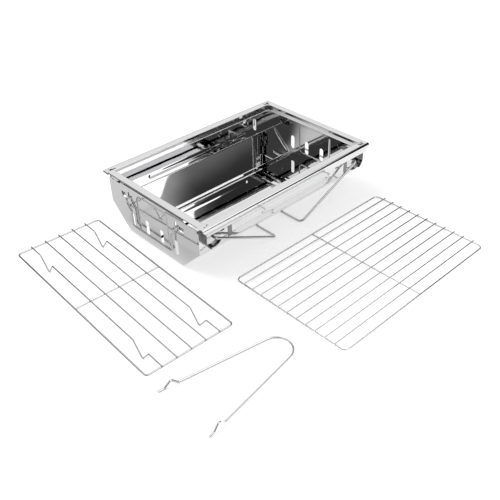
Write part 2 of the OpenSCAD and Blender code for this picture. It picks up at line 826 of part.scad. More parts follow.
trough_shell();
end_plate(true);  // left_end_plate
end_plate(false);  // right_end_plate
rail(true);  // near_rail
rail(false);  // far_rail
end_rim(true);  // left_end_rim
end_rim(false);  // right_end_rim
leg_bracket(true, true);  // near_left_leg_bracket
leg_bracket(false, true);  // near_right_leg_bracket
leg_bracket(true, false);  // far_left_leg_bracket
leg_bracket(false, false);  // far_right_leg_bracket
leg_stop(true, true);  // near_left_leg_stop
leg_stop(false, true);  // near_right_leg_stop
leg_stop(true, false);  // far_left_leg_stop
leg_stop(false, false);  // far_right_leg_stop
handle_lug(true, true);  // near_left_handle_lug
handle_lug(false, true);  // near_right_handle_lug
handle_lug(true, false);  // far_left_handle_lug
handle_lug(false, false);  // far_right_handle_lug
leg(true);  // left_leg
leg(false);  // right_leg
handle(true);  // left_handle
handle(false);  // right_handle
cooking_grate_frame();
cooking_grate_bars();
cooking_grate_crossbar();
charcoal_grate_frame();
charcoal_grate_bars();
charcoal_grate_footed_bars();
charcoal_grate_crossbar();
grate_lifter();
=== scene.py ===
import math
from functools import reduce

import bmesh
import bpy
import numpy as np
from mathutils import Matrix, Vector
from mathutils.geometry import tessellate_polygon


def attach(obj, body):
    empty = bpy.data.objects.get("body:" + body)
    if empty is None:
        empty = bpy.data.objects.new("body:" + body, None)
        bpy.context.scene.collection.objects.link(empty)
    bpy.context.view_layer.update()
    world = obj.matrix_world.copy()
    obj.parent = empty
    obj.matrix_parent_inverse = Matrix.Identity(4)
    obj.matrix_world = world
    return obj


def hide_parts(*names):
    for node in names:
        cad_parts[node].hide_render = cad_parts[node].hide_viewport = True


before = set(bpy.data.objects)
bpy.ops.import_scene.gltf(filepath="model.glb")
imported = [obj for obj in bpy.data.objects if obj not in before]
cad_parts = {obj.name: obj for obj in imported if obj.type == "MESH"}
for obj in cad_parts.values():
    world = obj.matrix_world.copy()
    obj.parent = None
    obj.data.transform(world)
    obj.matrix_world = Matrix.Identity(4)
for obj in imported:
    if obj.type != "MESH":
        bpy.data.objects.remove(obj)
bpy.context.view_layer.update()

# Trough: one sheet of mirror-polished stainless steel, folded along its length into a flat
# bottom, two slants and two upright walls. A long stiffening bead is pressed into each wall, the
# slants bend in a little at their ends, and a hole near each corner takes a folding leg's end.
MM = 0.001
HAIR, TINY = 0.01, 1e-6
SHEET_T = 1.0
WALL_Y, BOTTOM_Y, BEND_Z, WALL_TOP_Z = 127.0, 80.0, 47.0, 96.0
MIDDLE_SHIFT = 0.2
FOLD_R, KNEE_R, FOLD_STEPS = 2.6, 5.0, 9
BEND_EDGE = 0.12
PLATE_X = 213.5
PIVOT_X, PIVOT_Z = 184.8, 74.5
WALL_HOLE_R, HOLE_OVERRUN = 2.8, 9.0
BEAD_HALF, BEAD_H, BEAD_Z, BEAD_D, BEAD_SHOULDER = 131.0, 12.5, 61.0, 0.3, 6.0
KNEE_CLEAR = 4.0
CURL_L, CURL_H, CURL_EDGE, CURL_RISE = 4.5, 0.85, 1.0, 5.0
LENGTH_STEP, CURL_STEP, WALL_STEP, FLAT_STEP = 9.0, 0.5, 1.0, 12.0
BEAD_STEP, BEAD_END, BEAD_PAST = 0.8, 10.0, 1.0
SMOOTH_ANGLE = math.radians(32)
SOME_WAY = (0.31, 0.82, 0.47)
WAVE_NOISE, LINE_NOISE, MARK_NOISE = (13.0, 1.0, 0.5), (1.0, 3.0, 0.7), (34.0, 5.0, 0.62)
TINT_BAND, ROUGH_BAND, LINE_BAND = (0.3, 0.75), (0.42, 0.72), (0.3, 0.7)
CLEAN_TINT, SMUDGE_TINT = (1.0, 1.0, 1.006), (0.965, 0.965, 0.972)
SMUDGE_ROUGH, LINE_SHARE, LINE_BUMP = 0.05, 0.25, 0.5


def soft_step(value):
    """Smooth rise from 0 to 1"""
    value = np.clip(value, 0, 1)
    return value * value * (3 - 2 * value)


def bend_path(corners, radii, steps=7, closed=False):
    """Points of a flat path with rounded corners, and the direction to its left at each"""
    corners = [np.array(c, float) for c in corners]
    count = len(corners)
    ways, lengths = [], []
    for i in range(count):
        way = corners[(i + 1) % count] - corners[i]
        lengths.append(np.linalg.norm(way))
        ways.append(way / lengths[-1])
    bends = []
    for i in range(count):
        if not closed and i in (0, count - 1):
            bends.append((0.0, 0.0, 0.0))
            continue
        way_in, way_out = ways[i - 1], ways[i]
        turn = math.atan2(way_in[0] * way_out[1] - way_in[1] * way_out[0], way_in @ way_out)
        radius = radii[i] if closed else radii[i - 1]
        bends.append((turn, radius, radius * math.tan(abs(turn) / 2)))
    points, lefts = [], []
    for i, (turn, radius, reach) in enumerate(bends):
        way_in = ways[i - 1] if closed or i else ways[i]
        way_out = ways[i] if closed or i < count - 1 else ways[i - 1]
        if not closed and i in (0, count - 1):
            way = way_in if i else way_out
            points.append(corners[i])
            lefts.append([-way[1], way[0]])
            continue
        side = math.copysign(radius, turn)
        start = corners[i] - way_in * reach
        centre = start + side * np.array([-way_in[1], way_in[0]])
        room_in = lengths[i - 1] - reach - bends[i - 1][2]
        room_out = lengths[i] - reach - bends[(i + 1) % count][2]
        if room_in > 4 * BEND_EDGE:
            points.append(start - way_in * BEND_EDGE)
            lefts.append([-way_in[1], way_in[0]])
        for k in range(steps + 1):
            a = turn * k / steps
            way = np.array([way_in[0] * math.cos(a) - way_in[1] * math.sin(a),
                            way_in[0] * math.sin(a) + way_in[1] * math.cos(a)])
            left = np.array([-way[1], way[0]])
            points.append(centre - side * left)
            lefts.append(left)
        if room_out > 4 * BEND_EDGE:
            points.append(corners[i] + way_out * (reach + BEND_EDGE))
            lefts.append([-way_out[1], way_out[0]])
    return np.array(points), np.array(lefts)


def fill_gaps(points, lefts, longest):
    """Adds points on the straights of a path, so that none is longer than it may be"""
    more, sides = [points[0]], [lefts[0]]
    for i in range(1, len(points)):
        gap = longest(points[i - 1], points[i])
        pieces = max(1, math.ceil(np.linalg.norm(points[i] - points[i - 1]) / gap))
        for k in range(1, pieces + 1):
            more.append(points[i - 1] + (points[i] - points[i - 1]) * k / pieces)
            sides.append(lefts[i - 1] + (lefts[i] - lefts[i - 1]) * k / pieces)
    return np.array(more), np.array(sides)


def sheet_part(front, back):
    """Closed sheet between two equal grids of points"""
    rows, columns = front.shape[:2]
    points = np.concatenate([front.reshape(-1, 3), back.reshape(-1, 3)])
    other = rows * columns
    faces = []
    for i in range(rows - 1):
        for j in range(columns - 1):
            quad = [i * columns + j, (i + 1) * columns + j,
                    (i + 1) * columns + j + 1, i * columns + j + 1]
            faces += [quad, [v + other for v in reversed(quad)]]
    edge = list(range(columns))
    edge += [i * columns + columns - 1 for i in range(1, rows)]
    edge += [(rows - 1) * columns + j for j in range(columns - 2, -1, -1)]
    edge += [i * columns for i in range(rows - 2, 0, -1)]
    for k, v in enumerate(edge):
        after = edge[(k + 1) % len(edge)]
        faces.append([v, after, after + other, v + other])
    return points, faces


def add_object(name, data):
    """A new object in the scene"""
    thing = bpy.data.objects.new(name, data)
    bpy.context.scene.collection.objects.link(thing)
    return thing


def face_outwards(mesh, merge=0.0):
    """Joins points closer than merge and turns the faces of a mesh's closed parts outwards"""
    tidy = bmesh.new()
    tidy.from_mesh(mesh)
    if merge:
        bmesh.ops.remove_doubles(tidy, verts=tidy.verts, dist=merge)
    bmesh.ops.recalc_face_normals(tidy, faces=tidy.faces)
    tidy.to_mesh(mesh)
    tidy.free()


def shade(piece):
    """Smooth faces, with a sharp edge where two of them meet at more than SMOOTH_ANGLE"""
    piece.data.polygons.foreach_set("use_smooth", [True] * len(piece.data.polygons))
    piece.data.set_sharp_from_angle(angle=SMOOTH_ANGLE)
    piece.data.update()


def make_piece(name, parts):
    """One object from closed parts in millimetres"""
    points, faces = [], []
    for part_points, part_faces in parts:
        faces += [[v + len(points) for v in face] for face in part_faces]
        points += [tuple(float(c) * MM for c in p) for p in part_points]
    mesh = bpy.data.meshes.new(name)
    mesh.from_pydata(points, [], faces)
    face_outwards(mesh)
    piece = add_object(name, mesh)
    shade(piece)
    return piece


def settle(piece):
    """Turns a piece with modifiers into a plain mesh"""
    seen = piece.evaluated_get(bpy.context.evaluated_depsgraph_get())
    mesh = bpy.data.meshes.new_from_object(seen)
    piece.modifiers.clear()
    piece.data = mesh
    shade(piece)


def carve(piece, cutter, operation="DIFFERENCE"):
    """Cuts a piece with another one, which is used up"""
    cut = piece.modifiers.new("Cut", "BOOLEAN")
    cut.object, cut.operation, cut.solver = cutter, operation, "EXACT"
    settle(piece)
    bpy.data.objects.remove(cutter)


def round_part(start, end, radius, sides=40):
    """Closed round bar between two points, in millimetres"""
    start, end = np.array(start, float), np.array(end, float)
    way = (end - start) / np.linalg.norm(end - start)
    across = np.cross(way, SOME_WAY)
    across /= np.linalg.norm(across)
    up = np.cross(way, across)
    ring = [radius * (math.cos(a) * across + math.sin(a) * up)
            for a in (2 * math.pi * k / sides for k in range(sides))]
    points = [start + r for r in ring] + [end + r for r in ring]
    faces = [[k, (k + 1) % sides, sides + (k + 1) % sides, sides + k] for k in range(sides)]
    return points, faces + [list(range(sides)), list(range(sides, 2 * sides))]


def grid_line(half, fine, spacing):
    """Places along a line, close together inside the fine stretches of its positive half"""
    places = [0.0]
    while places[-1] < half - TINY:
        here = places[-1]
        gaps = [gap for low, high, gap in fine if low <= here < high]
        ahead = [] if gaps else [low for low, _, _ in fine if low > here + TINY]
        places.append(min([here + min(gaps or [spacing]), half] + ahead))
    return np.array([-p for p in reversed(places[1:])] + places)


def node_maths(operation, *values):
    """A maths node with numbers or sockets as its inputs, in the tree of the first socket"""
    tree = next(value.id_data for value in values if hasattr(value, "id_data"))
    node = tree.nodes.new("ShaderNodeMath")
    node.operation = operation
    for k, value in enumerate(values):
        if isinstance(value, (int, float)):
            node.inputs[k].default_value = value
        else:
            tree.links.new(value, node.inputs[k])
    return node.outputs[0]


def node_range(value, low, high, to_low=0.0, to_high=1.0):
    """A smooth step of a socket's value from one range to another"""
    node = value.id_data.nodes.new("ShaderNodeMapRange")
    node.interpolation_type = "SMOOTHSTEP"
    value.id_data.links.new(value, node.inputs["Value"])
    for name, number in (("From Min", low), ("From Max", high), ("To Min", to_low),
                         ("To Max", to_high)):
        node.inputs[name].default_value = number
    return node.outputs[0]


def join(*links):
    """Links nodes: each link is a node, its output, the next node and its input"""
    for start, output, end, entry in links:
        start.id_data.links.new(start.outputs[output], end.inputs[entry])


def steel(name, grey, rough, wave, grain_way, grain, smudge=1.0):
    """Bare steel: a slow wave in the sheet, fine polishing lines along one axis, and smudges"""
    material = bpy.data.materials.new(name)
    material.use_nodes = True
    tree = material.node_tree
    shader = tree.nodes["Principled BSDF"]
    shader.inputs["Metallic"].default_value = 1.0
    place = tree.nodes.new("ShaderNodeTexCoord")
    stretch = tree.nodes.new("ShaderNodeMapping")
    stretch.inputs["Scale"].default_value = grain_way
    join((place, "Object", stretch, "Vector"))
    noises = []
    for source, output, settings in ((place, "Object", WAVE_NOISE),
                                     (stretch, "Vector", LINE_NOISE),
                                     (place, "Object", MARK_NOISE)):
        noise = tree.nodes.new("ShaderNodeTexNoise")
        for key, number in zip(("Scale", "Detail", "Roughness"), settings):
            noise.inputs[key].default_value = number
        join((source, output, noise, "Vector"))
        noises.append(noise.outputs["Fac"])
    waves, lines, marks = noises
    tint = tree.nodes.new("ShaderNodeMix")
    tint.data_type = "RGBA"
    tree.links.new(node_range(marks, *TINT_BAND), tint.inputs["Factor"])
    for key, shares in (("A", CLEAN_TINT), ("B", SMUDGE_TINT)):
        tint.inputs[key].default_value = [grey * share for share in shares] + [1]
    tree.links.new(tint.outputs["Result"], shader.inputs["Base Color"])
    patchy = node_range(marks, *ROUGH_BAND, rough, rough + SMUDGE_ROUGH * smudge)
    lined = node_range(lines, *LINE_BAND, -LINE_SHARE * rough, LINE_SHARE * rough)
    tree.links.new(node_maths("ADD", patchy, lined), shader.inputs["Roughness"])
    entry = shader.inputs["Normal"]
    for height, distance, strength in ((lines, grain, LINE_BUMP), (waves, wave, 1.0)):
        bump = tree.nodes.new("ShaderNodeBump")
        bump.inputs["Distance"].default_value = distance
        bump.inputs["Strength"].default_value = strength
        tree.links.new(height, bump.inputs["Height"])
        tree.links.new(bump.outputs[0], entry)
        entry = bump.inputs["Normal"]
    return material


def place_on(piece, body, slot, *nodes):
    """Puts a finished piece on its body in place of the plain solids"""
    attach(piece, body)
    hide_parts(*nodes)


mirror_steel = steel("Mirror-polished trough sheet", grey=0.86, rough=0.014, wave=0.00016,
                     grain_way=(30, 700, 700), grain=1.2e-6, smudge=0.3)
foot_y, knee_y, knee_z = BOTTOM_Y - MIDDLE_SHIFT, WALL_Y - SHEET_T / 2, BEND_Z + MIDDLE_SHIFT
middle, inward = bend_path(
    [(-knee_y, WALL_TOP_Z), (-knee_y, knee_z), (-foot_y, SHEET_T / 2),
     (foot_y, SHEET_T / 2), (knee_y, knee_z), (knee_y, WALL_TOP_Z)],
    [KNEE_R, FOLD_R, FOLD_R, KNEE_R], FOLD_STEPS)
middle, inward = fill_gaps(
    middle, inward, lambda a, b: WALL_STEP if min(a[1], b[1]) > BEND_Z else FLAT_STEP)
along = grid_line(PLATE_X, [(BEAD_HALF - BEAD_END, BEAD_HALF + BEAD_PAST, BEAD_STEP),
                            (PLATE_X - CURL_L, PLATE_X, CURL_STEP)], LENGTH_STEP)
curl = CURL_H * np.clip((np.abs(along) - PLATE_X + CURL_L) / CURL_L, 0, 1) ** 2
over_fold = soft_step((middle[:, 1] - CURL_EDGE) / CURL_RISE)
on_slant = over_fold * soft_step((BEND_Z - CURL_EDGE - middle[:, 1]) / CURL_RISE)
on_wall = (np.abs(middle[:, 0]) > knee_y - HAIR) & (middle[:, 1] > BEND_Z + KNEE_CLEAR)
beyond = np.maximum(np.abs(along) - (BEAD_HALF - BEAD_H / 2), 0)
depth = BEAD_H / 2 - np.hypot(beyond[None, :], middle[:, 1:2] - BEAD_Z)
swell = BEAD_D * soft_step(depth / BEAD_SHOULDER) * on_wall[:, None]
grids = []
for side in (1, -1):
    face = middle + inward * side * SHEET_T / 2
    grid = np.zeros((len(face), len(along), 3))
    grid[:, :, 0] = along[None, :]
    grid[:, :, 1:] = face[:, None, :]
    grid[:, :, 1] += swell * np.sign(middle[:, 0:1])
    grid[:, :, 1:] += inward[:, None, :] * (on_slant[:, None] * curl)[:, :, None]
    grids.append(grid)
trough = make_piece("trough_sheet", [sheet_part(*grids)])
reach = WALL_Y + HOLE_OVERRUN
carve(trough, make_piece("wall_holes", [
    round_part((x, -reach, PIVOT_Z), (x, reach, PIVOT_Z), WALL_HOLE_R)
    for x in (-PIVOT_X, PIVOT_X)]))
trough.data.materials.append(mirror_steel)
place_on(trough, "grill_body", "polished_sheet", "trough_shell")

# End plates: polished stainless sheet, cut with four air slots, two square windows and two slots
# for the handle's cranks. A panel is pressed into the middle, and the flanges and side flaps are
# folded in and spot-welded to the trough.
ENDS = (("left", -1), ("right", 1))
PLATE_OUT_X = PLATE_X + SHEET_T
PLATE_BEND, BEND_SLACK = 1.5, 0.001
PLATE_TOP_Z, CORNER_TOP_Z = 101.5, 97.5
PLATE_TOP_Y, NOTCH_OUT, NOTCH_IN = 90.0, 3.0, 1.0
PLATE_FOOT_IN, PLATE_KNEE_DOWN = 0.4, 0.1
CORNER_R, NOTCH_R, INNER_R = 2.0, 0.8, 0.3
FLANGE_W, FLANGE_END, FLANGE_SINK = 8.0, 2.0, 0.02
PANEL_Y, PANEL_LOW_Z, PANEL_TOP_Z, PANEL_R, PANEL_D = 45.0, 14.0, 94.0, 12.0, 1.2
PANEL_SHOULDER, PRESS_SHADE_BAND = 4.2, (0.5, 2.4)
PLATE_STEP, PRESS_STEP, PRESS_MARGIN, LAST_ROW_Z = 3.0, 0.6, 1.0, 98.0
SLOTS, SLOT_W, SLOT_LOW_Z, SLOT_TOP_Z, SLOT_PITCH = 4, 10.0, 17.0, 47.5, 43.0
WINDOW_Y, WINDOW_Z, WINDOW_R = (77.3, 90.5), (72.0, 84.0), 0.8
CRANK_SLOT_Y, CRANK_SLOT_Z, CRANK_SLOT_R = (65.8, 70.8), (76.7, 89.9), 1.2
CUT_IN, CUT_OUT = 6.0, 3.0
FLAP_Y = WALL_Y + SHEET_T
HIGH_FLAP_X, HIGH_FLAP_Z = 206.2, (76.0, 92.0)
LOW_FLAP_X, LOW_FLAP_Z, LOW_FLAP_TOP = 202.5, (49.0, 70.0), 1.5


def slab_part(loops, low, high, place):
    """Closed flat sheet with holes: the first loop is its outline and the others are holes"""
    flat = [p for loop in loops for p in loop]
    count = len(flat)
    triangles = tessellate_polygon([[Vector((u, v, 0)) for u, v in loop] for loop in loops])
    points = [place(u, v, low) for u, v in flat] + [place(u, v, high) for u, v in flat]
    faces = [list(t) for t in triangles] + [[v + count for v in reversed(t)] for t in triangles]
    start = 0
    for loop in loops:
        for k in range(len(loop)):
            a, b = start + k, start + (k + 1) % len(loop)
            faces.append([a, b, b + count, a + count])
        start += len(loop)
    return points, faces


def box_loop(u, v, radius, steps=5):
    """Flat rectangle with round corners between two pairs of values"""
    corners = [(u[0], v[0]), (u[1], v[0]), (u[1], v[1]), (u[0], v[1])]
    return bend_path(corners, [radius] * 4, steps, closed=True)[0].tolist()


def strip_part(path, radii, thickness, span, place, steps=6, end_shift=None):
    """Bent strip with the same section between two places; its end may follow a slanting cut"""
    middle, left = bend_path(path, radii, steps)
    grids = []
    for side in (0.5, -0.5):
        face = middle + left * side * thickness
        grid = np.zeros((len(face), len(span), 3))
        for j, s in enumerate(span):
            for i, (u, v) in enumerate(face):
                shift = end_shift(s) if end_shift and i == len(face) - 1 else 0.0
                grid[i, j] = place(u + shift, v, s)
        grids.append(grid)
    return sheet_part(*grids)


def panel_gap(y, z):
    """How far inside the panel's round-cornered edge a place on the plate is"""
    u = np.abs(y) - (PANEL_Y - PANEL_R)
    v = np.abs(z - (PANEL_LOW_Z + PANEL_TOP_Z) / 2)
    v = v - ((PANEL_TOP_Z - PANEL_LOW_Z) / 2 - PANEL_R)
    return PANEL_R - np.where((u > 0) & (v > 0), np.hypot(u, v), np.maximum(u, v))


# Painted dark reflection: the band along the panel's press line gets a dark grey steel (grey 0.3),
# which stands in for the dark reflection there.
press_line_shade_steel = steel("Painted dark reflection along the press line", grey=0.3, rough=0.16, wave=0.0003,
                    grain_way=[300] * 3, grain=1e-5)
plate_steel = steel("Mirror-polished end plate", grey=0.84, rough=0.02, wave=0.00035,
                    grain_way=(700, 24, 700), grain=1.5e-6, smudge=0.4)
half = SHEET_T / 2
edge_y, fold_z = WALL_Y - half, PLATE_TOP_Z - PLATE_BEND
across = grid_line(edge_y, [(PANEL_Y - PANEL_R - PRESS_MARGIN, PANEL_Y + PRESS_MARGIN,
                             PRESS_STEP)], PLATE_STEP)
low_edge, high_edge = (
    np.arange(start - PRESS_MARGIN, start + PANEL_R + PRESS_MARGIN, PRESS_STEP)
    for start in (PANEL_LOW_Z, PANEL_TOP_Z - PANEL_R))
upward = np.concatenate([
    np.arange(-PRESS_MARGIN, PANEL_LOW_Z - 2 * PRESS_MARGIN, PLATE_STEP), low_edge,
    np.arange(low_edge[-1] + PLATE_STEP, high_edge[0] - PRESS_MARGIN, PLATE_STEP), high_edge,
    [LAST_ROW_Z, fold_z]])
y_grid, z_grid = np.meshgrid(across, upward, indexing="ij")
pressed = PANEL_D * soft_step(panel_gap(y_grid, z_grid) / PANEL_SHOULDER)
low_y, side_z = BOTTOM_Y - PLATE_FOOT_IN, BEND_Z - PLATE_KNEE_DOWN
outer_y, inner_y = PLATE_TOP_Y + NOTCH_OUT, PLATE_TOP_Y + NOTCH_IN
outline = bend_path(
    [(-low_y, 0), (low_y, 0), (edge_y, side_z), (edge_y, CORNER_TOP_Z), (outer_y, CORNER_TOP_Z),
     (inner_y, fold_z - HAIR), (-inner_y, fold_z - HAIR), (-outer_y, CORNER_TOP_Z),
     (-edge_y, CORNER_TOP_Z), (-edge_y, side_z)],
    [CORNER_R] * 3 + [NOTCH_R] * 2 + [INNER_R] * 2 + [NOTCH_R] * 2 + [CORNER_R], closed=True)[0]
slot_r = SLOT_W / 2
holes = [box_loop((y - slot_r, y + slot_r), (SLOT_LOW_Z, SLOT_TOP_Z), slot_r - HAIR,
                  steps=10)
         for y in (np.arange(SLOTS) - (SLOTS - 1) / 2) * SLOT_PITCH]
for sign in (-1, 1):
    for y_range, z_range, radius in ((WINDOW_Y, WINDOW_Z, WINDOW_R),
                                     (CRANK_SLOT_Y, CRANK_SLOT_Z, CRANK_SLOT_R)):
        holes.append(box_loop(sorted(sign * y for y in y_range), z_range, radius, steps=3))
for end_name, out in ENDS:
    front, back = (np.stack([out * (x - pressed), y_grid, z_grid], axis=2)
                   for x in (PLATE_OUT_X, PLATE_X))
    plate = make_piece(f"{end_name}_end_plate_sheet", [sheet_part(front, back)])
    plate.data.materials.append(plate_steel)
    plate.data.materials.append(press_line_shade_steel)
    # Faces in the band round the panel take the dark grey steel: painted dark reflection.
    for face in plate.data.polygons:
        gap = panel_gap(face.center.y / MM, face.center.z / MM)
        face.material_index = int(PRESS_SHADE_BAND[0] < gap < PRESS_SHADE_BAND[1])
    carve(plate, make_piece("plate_outline", [slab_part(
        [outline.tolist()] + holes, out * (PLATE_X - CUT_IN), out * (PLATE_OUT_X + CUT_OUT),
        lambda u, v, w: (w, u, v))]), "INTERSECT")
    folds = [strip_part(
        [(PLATE_OUT_X - half, fold_z), (PLATE_OUT_X - half, PLATE_TOP_Z - half),
         (PLATE_X - FLANGE_W, PLATE_TOP_Z - half)], [PLATE_BEND - half - BEND_SLACK], SHEET_T,
        [-PLATE_TOP_Y, PLATE_TOP_Y], lambda u, v, w: (out * u, w, v))]
    folds.append(strip_part(
        [(PLATE_X + FLANGE_SINK, SHEET_T + half), (PLATE_X - FLANGE_W, SHEET_T + half)], [],
        SHEET_T, [-BOTTOM_Y + FLANGE_END, BOTTOM_Y - FLANGE_END],
        lambda u, v, w: (out * u, w, v)))
    corner = [(PLATE_OUT_X - half, edge_y), (PLATE_OUT_X - half, FLAP_Y - half)]
    bend = [FLAP_Y - half - edge_y - BEND_SLACK]
    rise = (PLATE_X - LOW_FLAP_TOP - LOW_FLAP_X) / (LOW_FLAP_Z[1] - LOW_FLAP_Z[0])
    for sign in (-1, 1):
        folds.append(strip_part(corner + [(HIGH_FLAP_X, FLAP_Y - half)], bend, SHEET_T,
                                HIGH_FLAP_Z, lambda u, v, w: (out * u, sign * v, w)))
        folds.append(strip_part(corner + [(LOW_FLAP_X, FLAP_Y - half)], bend, SHEET_T,
                                LOW_FLAP_Z, lambda u, v, w: (out * u, sign * v, w),
                                end_shift=lambda w: (w - LOW_FLAP_Z[0]) * rise))
    folded = make_piece(f"{end_name}_end_plate_folds", folds)
    folded.data.materials.append(plate_steel)
    for part in (plate, folded):
        place_on(part, "grill_body", "polished_sheet", f"{end_name}_end_plate")

# Long rails of the rim: stainless strips rolled over at the outer edge into a lip with a folded
# hem, and stepped down inside to the ledge that carries the cooking grate. Two spot welds at each
# corner hold them to the tabs of the end rims.
SIDES = (("near", -1), ("far", 1))
RAIL_X, RAIL_Y, RIM_Z, OPEN_HALF = 215.0, 145.0, 106.0, 127.3
ROLL_R, STEP_BEND = 4.0, 0.6
LIP_LOW_Z, LIP_CUT, LIP_NEAR = 90.5, 9.0, 6.0
HEM_H, HEM_GAP, HEM_BEND = 3.0, 0.1, 0.545
RIM_IN_X, LEDGE_IN_X = 200.5, 194.5
LEDGE_Z, LEDGE_IN_Y, LEDGE_LOW_Z = 97.0, 121.0, 90.0
WELD_SPOTS, WELD_R, WELD_DEPTH = ((205.0, 136.0), (197.0, 133.5)), 1.5, 0.3
RAIL_PARTS = (-1.0, -0.97, -0.9, 0.9, 0.97, 1.0)


def ball_part(centre, radius, rings=20, sides=32):
    """Closed ball, in millimetres"""
    centre = np.array(centre, float)
    points = [centre + [0, 0, radius], centre - [0, 0, radius]]
    for i in range(1, rings):
        tilt = math.pi * i / rings
        points += [centre + radius * np.array([math.sin(tilt) * math.cos(a),
                                               math.sin(tilt) * math.sin(a), math.cos(tilt)])
                   for a in (2 * math.pi * k / sides for k in range(sides))]
    faces = []
    for k in range(sides):
        after = (k + 1) % sides
        last = 2 + (rings - 2) * sides
        faces += [[0, 2 + k, 2 + after], [1, last + after, last + k]]
        faces += [[2 + i * sides + k, 2 + (i + 1) * sides + k, 2 + (i + 1) * sides + after,
                   2 + i * sides + after] for i in range(rings - 2)]
    return points, faces


rail_steel = steel("Polished rail", grey=0.84, rough=0.05, wave=0.00008,
                   grain_way=(14, 900, 900), grain=2e-6, smudge=0.6)
hem_y = RAIL_Y - 3 * half - HEM_GAP
rail_path = [(hem_y, LIP_LOW_Z + HEM_H), (hem_y, LIP_LOW_Z + half),
             (RAIL_Y - half, LIP_LOW_Z + half), (RAIL_Y - half, RIM_Z - half),
             (OPEN_HALF + half, RIM_Z - half), (OPEN_HALF + half, LEDGE_Z - half),
             (LEDGE_IN_Y + half, LEDGE_Z - half), (LEDGE_IN_Y + half, LEDGE_LOW_Z)]
rail_bends = [HEM_BEND] * 2 + [ROLL_R - half] + [STEP_BEND] * 3
rail_middle, rail_left = bend_path(rail_path, rail_bends, steps=10)


def rail_end(y, z):
    """How far along the trough a point of the rail's section reaches"""
    if y < OPEN_HALF - STEP_BEND or z < LEDGE_Z - half - HEM_GAP and y < RAIL_Y - LIP_NEAR:
        return LEDGE_IN_X
    if y < OPEN_HALF + half + STEP_BEND - HAIR:
        return RIM_IN_X
    roll_z = RIM_Z - ROLL_R
    return RAIL_X - LIP_CUT * max(0.0, (roll_z - z) / (roll_z - LIP_LOW_Z))


for side_name, sign in SIDES:
    grids = []
    for side in (half, -half):
        face = rail_middle + rail_left * side
        grids.append(np.array([[(part * rail_end(*mid), sign * y, z) for part in RAIL_PARTS]
                               for (y, z), mid in zip(face, rail_middle)]))
    rail = make_piece(f"{side_name}_rail_sheet", [sheet_part(*grids)])
    dish_r = (WELD_R ** 2 + WELD_DEPTH ** 2) / (2 * WELD_DEPTH)
    carve(rail, make_piece("weld_dishes", [
        ball_part((end * x, sign * y, RIM_Z - WELD_DEPTH + dish_r), dish_r)
        for end in (-1, 1) for x, y in WELD_SPOTS]))
    rail.data.materials.append(rail_steel)
    place_on(rail, "grill_body", "polished_sheet", f"{side_name}_rail")

# End rims: stainless strips with a turned-down outer edge and the same inner step and ledge as
# the rails. A tab at each corner tucks under the rail, where it is spot-welded.
END_EDGE_H, END_BEND, END_TUCK = 1.5, 0.8, 0.9
TAB_X, TAB_Y, TAB_R = (201.5, 214.0), (125.3, 139.3), 1.5
end_steel = steel("Polished end rim", grey=0.84, rough=0.05, wave=0.00008,
                  grain_way=(900, 14, 900), grain=2e-6, smudge=0.6)
end_path = [(RAIL_X - half, RIM_Z - END_EDGE_H), (RAIL_X - half, RIM_Z - half),
            (RIM_IN_X + half, RIM_Z - half), (RIM_IN_X + half, LEDGE_Z - half),
            (LEDGE_IN_X + half, LEDGE_Z - half), (LEDGE_IN_X + half, LEDGE_LOW_Z)]
end_middle, end_left = bend_path(end_path, [END_BEND] + [STEP_BEND] * 3, steps=8)


def rim_reach(mid_x, z):
    """How far across the trough a point of the end rim's section reaches"""
    if z < LEDGE_Z - half - STEP_BEND and mid_x < RIM_IN_X - SHEET_T:
        return LEDGE_IN_Y
    if mid_x < RIM_IN_X + half + STEP_BEND - HAIR:
        return OPEN_HALF
    return OPEN_HALF + END_TUCK


for end_name, out in ENDS:
    grids = []
    for side in (half, -half):
        face = end_middle + end_left * side
        reaches = [rim_reach(mid[0], z) for (_, z), mid in zip(face, end_middle)]
        grids.append(np.array([[(out * x, sign * reach, z) for sign in (-1, 1)]
                               for (x, z), reach in zip(face, reaches)]))
    tabs = [slab_part([box_loop(TAB_X, sorted(sign * y for y in TAB_Y), TAB_R)],
                      RIM_Z - 2 * SHEET_T, RIM_Z - SHEET_T - HAIR,
                      lambda u, v, w: (out * u, v, w)) for sign in (-1, 1)]
    rim = make_piece(f"{end_name}_end_rim_sheet", [sheet_part(*grids)] + tabs)
    rim.data.materials.append(end_steel)
    place_on(rim, "grill_body", "polished_sheet", f"{end_name}_end_rim")

# Leg brackets: round cups pressed from stainless sheet and spot-welded to the side walls. The
# leg's end turns in the hole, and the deep part of the cup's edge stops the unfolded leg. The
# cup's edge is dark grey: painted dark reflection.
BRACKET_R, BRACKET_T, BRACKET_BEND, HANG_Z = 20.6, 1.2, 1.8, 20.5
CUP_DEPTH, STOP_DEPTH = 7.2, 12.0
STOP_ENDS, CUP_ENDS, EDGE_STEP = 242.0, 322.9, 3.1
CUP_POINTS, OPEN_POINTS = 48, 14
BORE_R, BORE_SIDES = 2.45, 36
bracket_steel = steel("Polished leg bracket", grey=0.74, rough=0.035, wave=0.0003,
                      grain_way=[420] * 3, grain=5e-6, smudge=0.5)
# Painted dark reflection: the cups' deep edges and the stop strips get a dark grey steel (grey
# 0.26), which stands in for the dark reflections on them.
edge_shade_steel = steel("Painted shade on the bracket edges and stops", grey=0.26, rough=0.09, wave=0.0003,
                    grain_way=[420] * 3, grain=1e-5)


def cup_point(u, w, sx, sy, y):
    """A bracket's point: u runs inboard and w up from the pivot"""
    return sx * (PIVOT_X - u), sy * y, PIVOT_Z + w


def cup_arc(radius, degrees):
    """Points round the pivot at a list of angles"""
    return [(radius * math.cos(a), radius * math.sin(a)) for a in map(math.radians, degrees)]


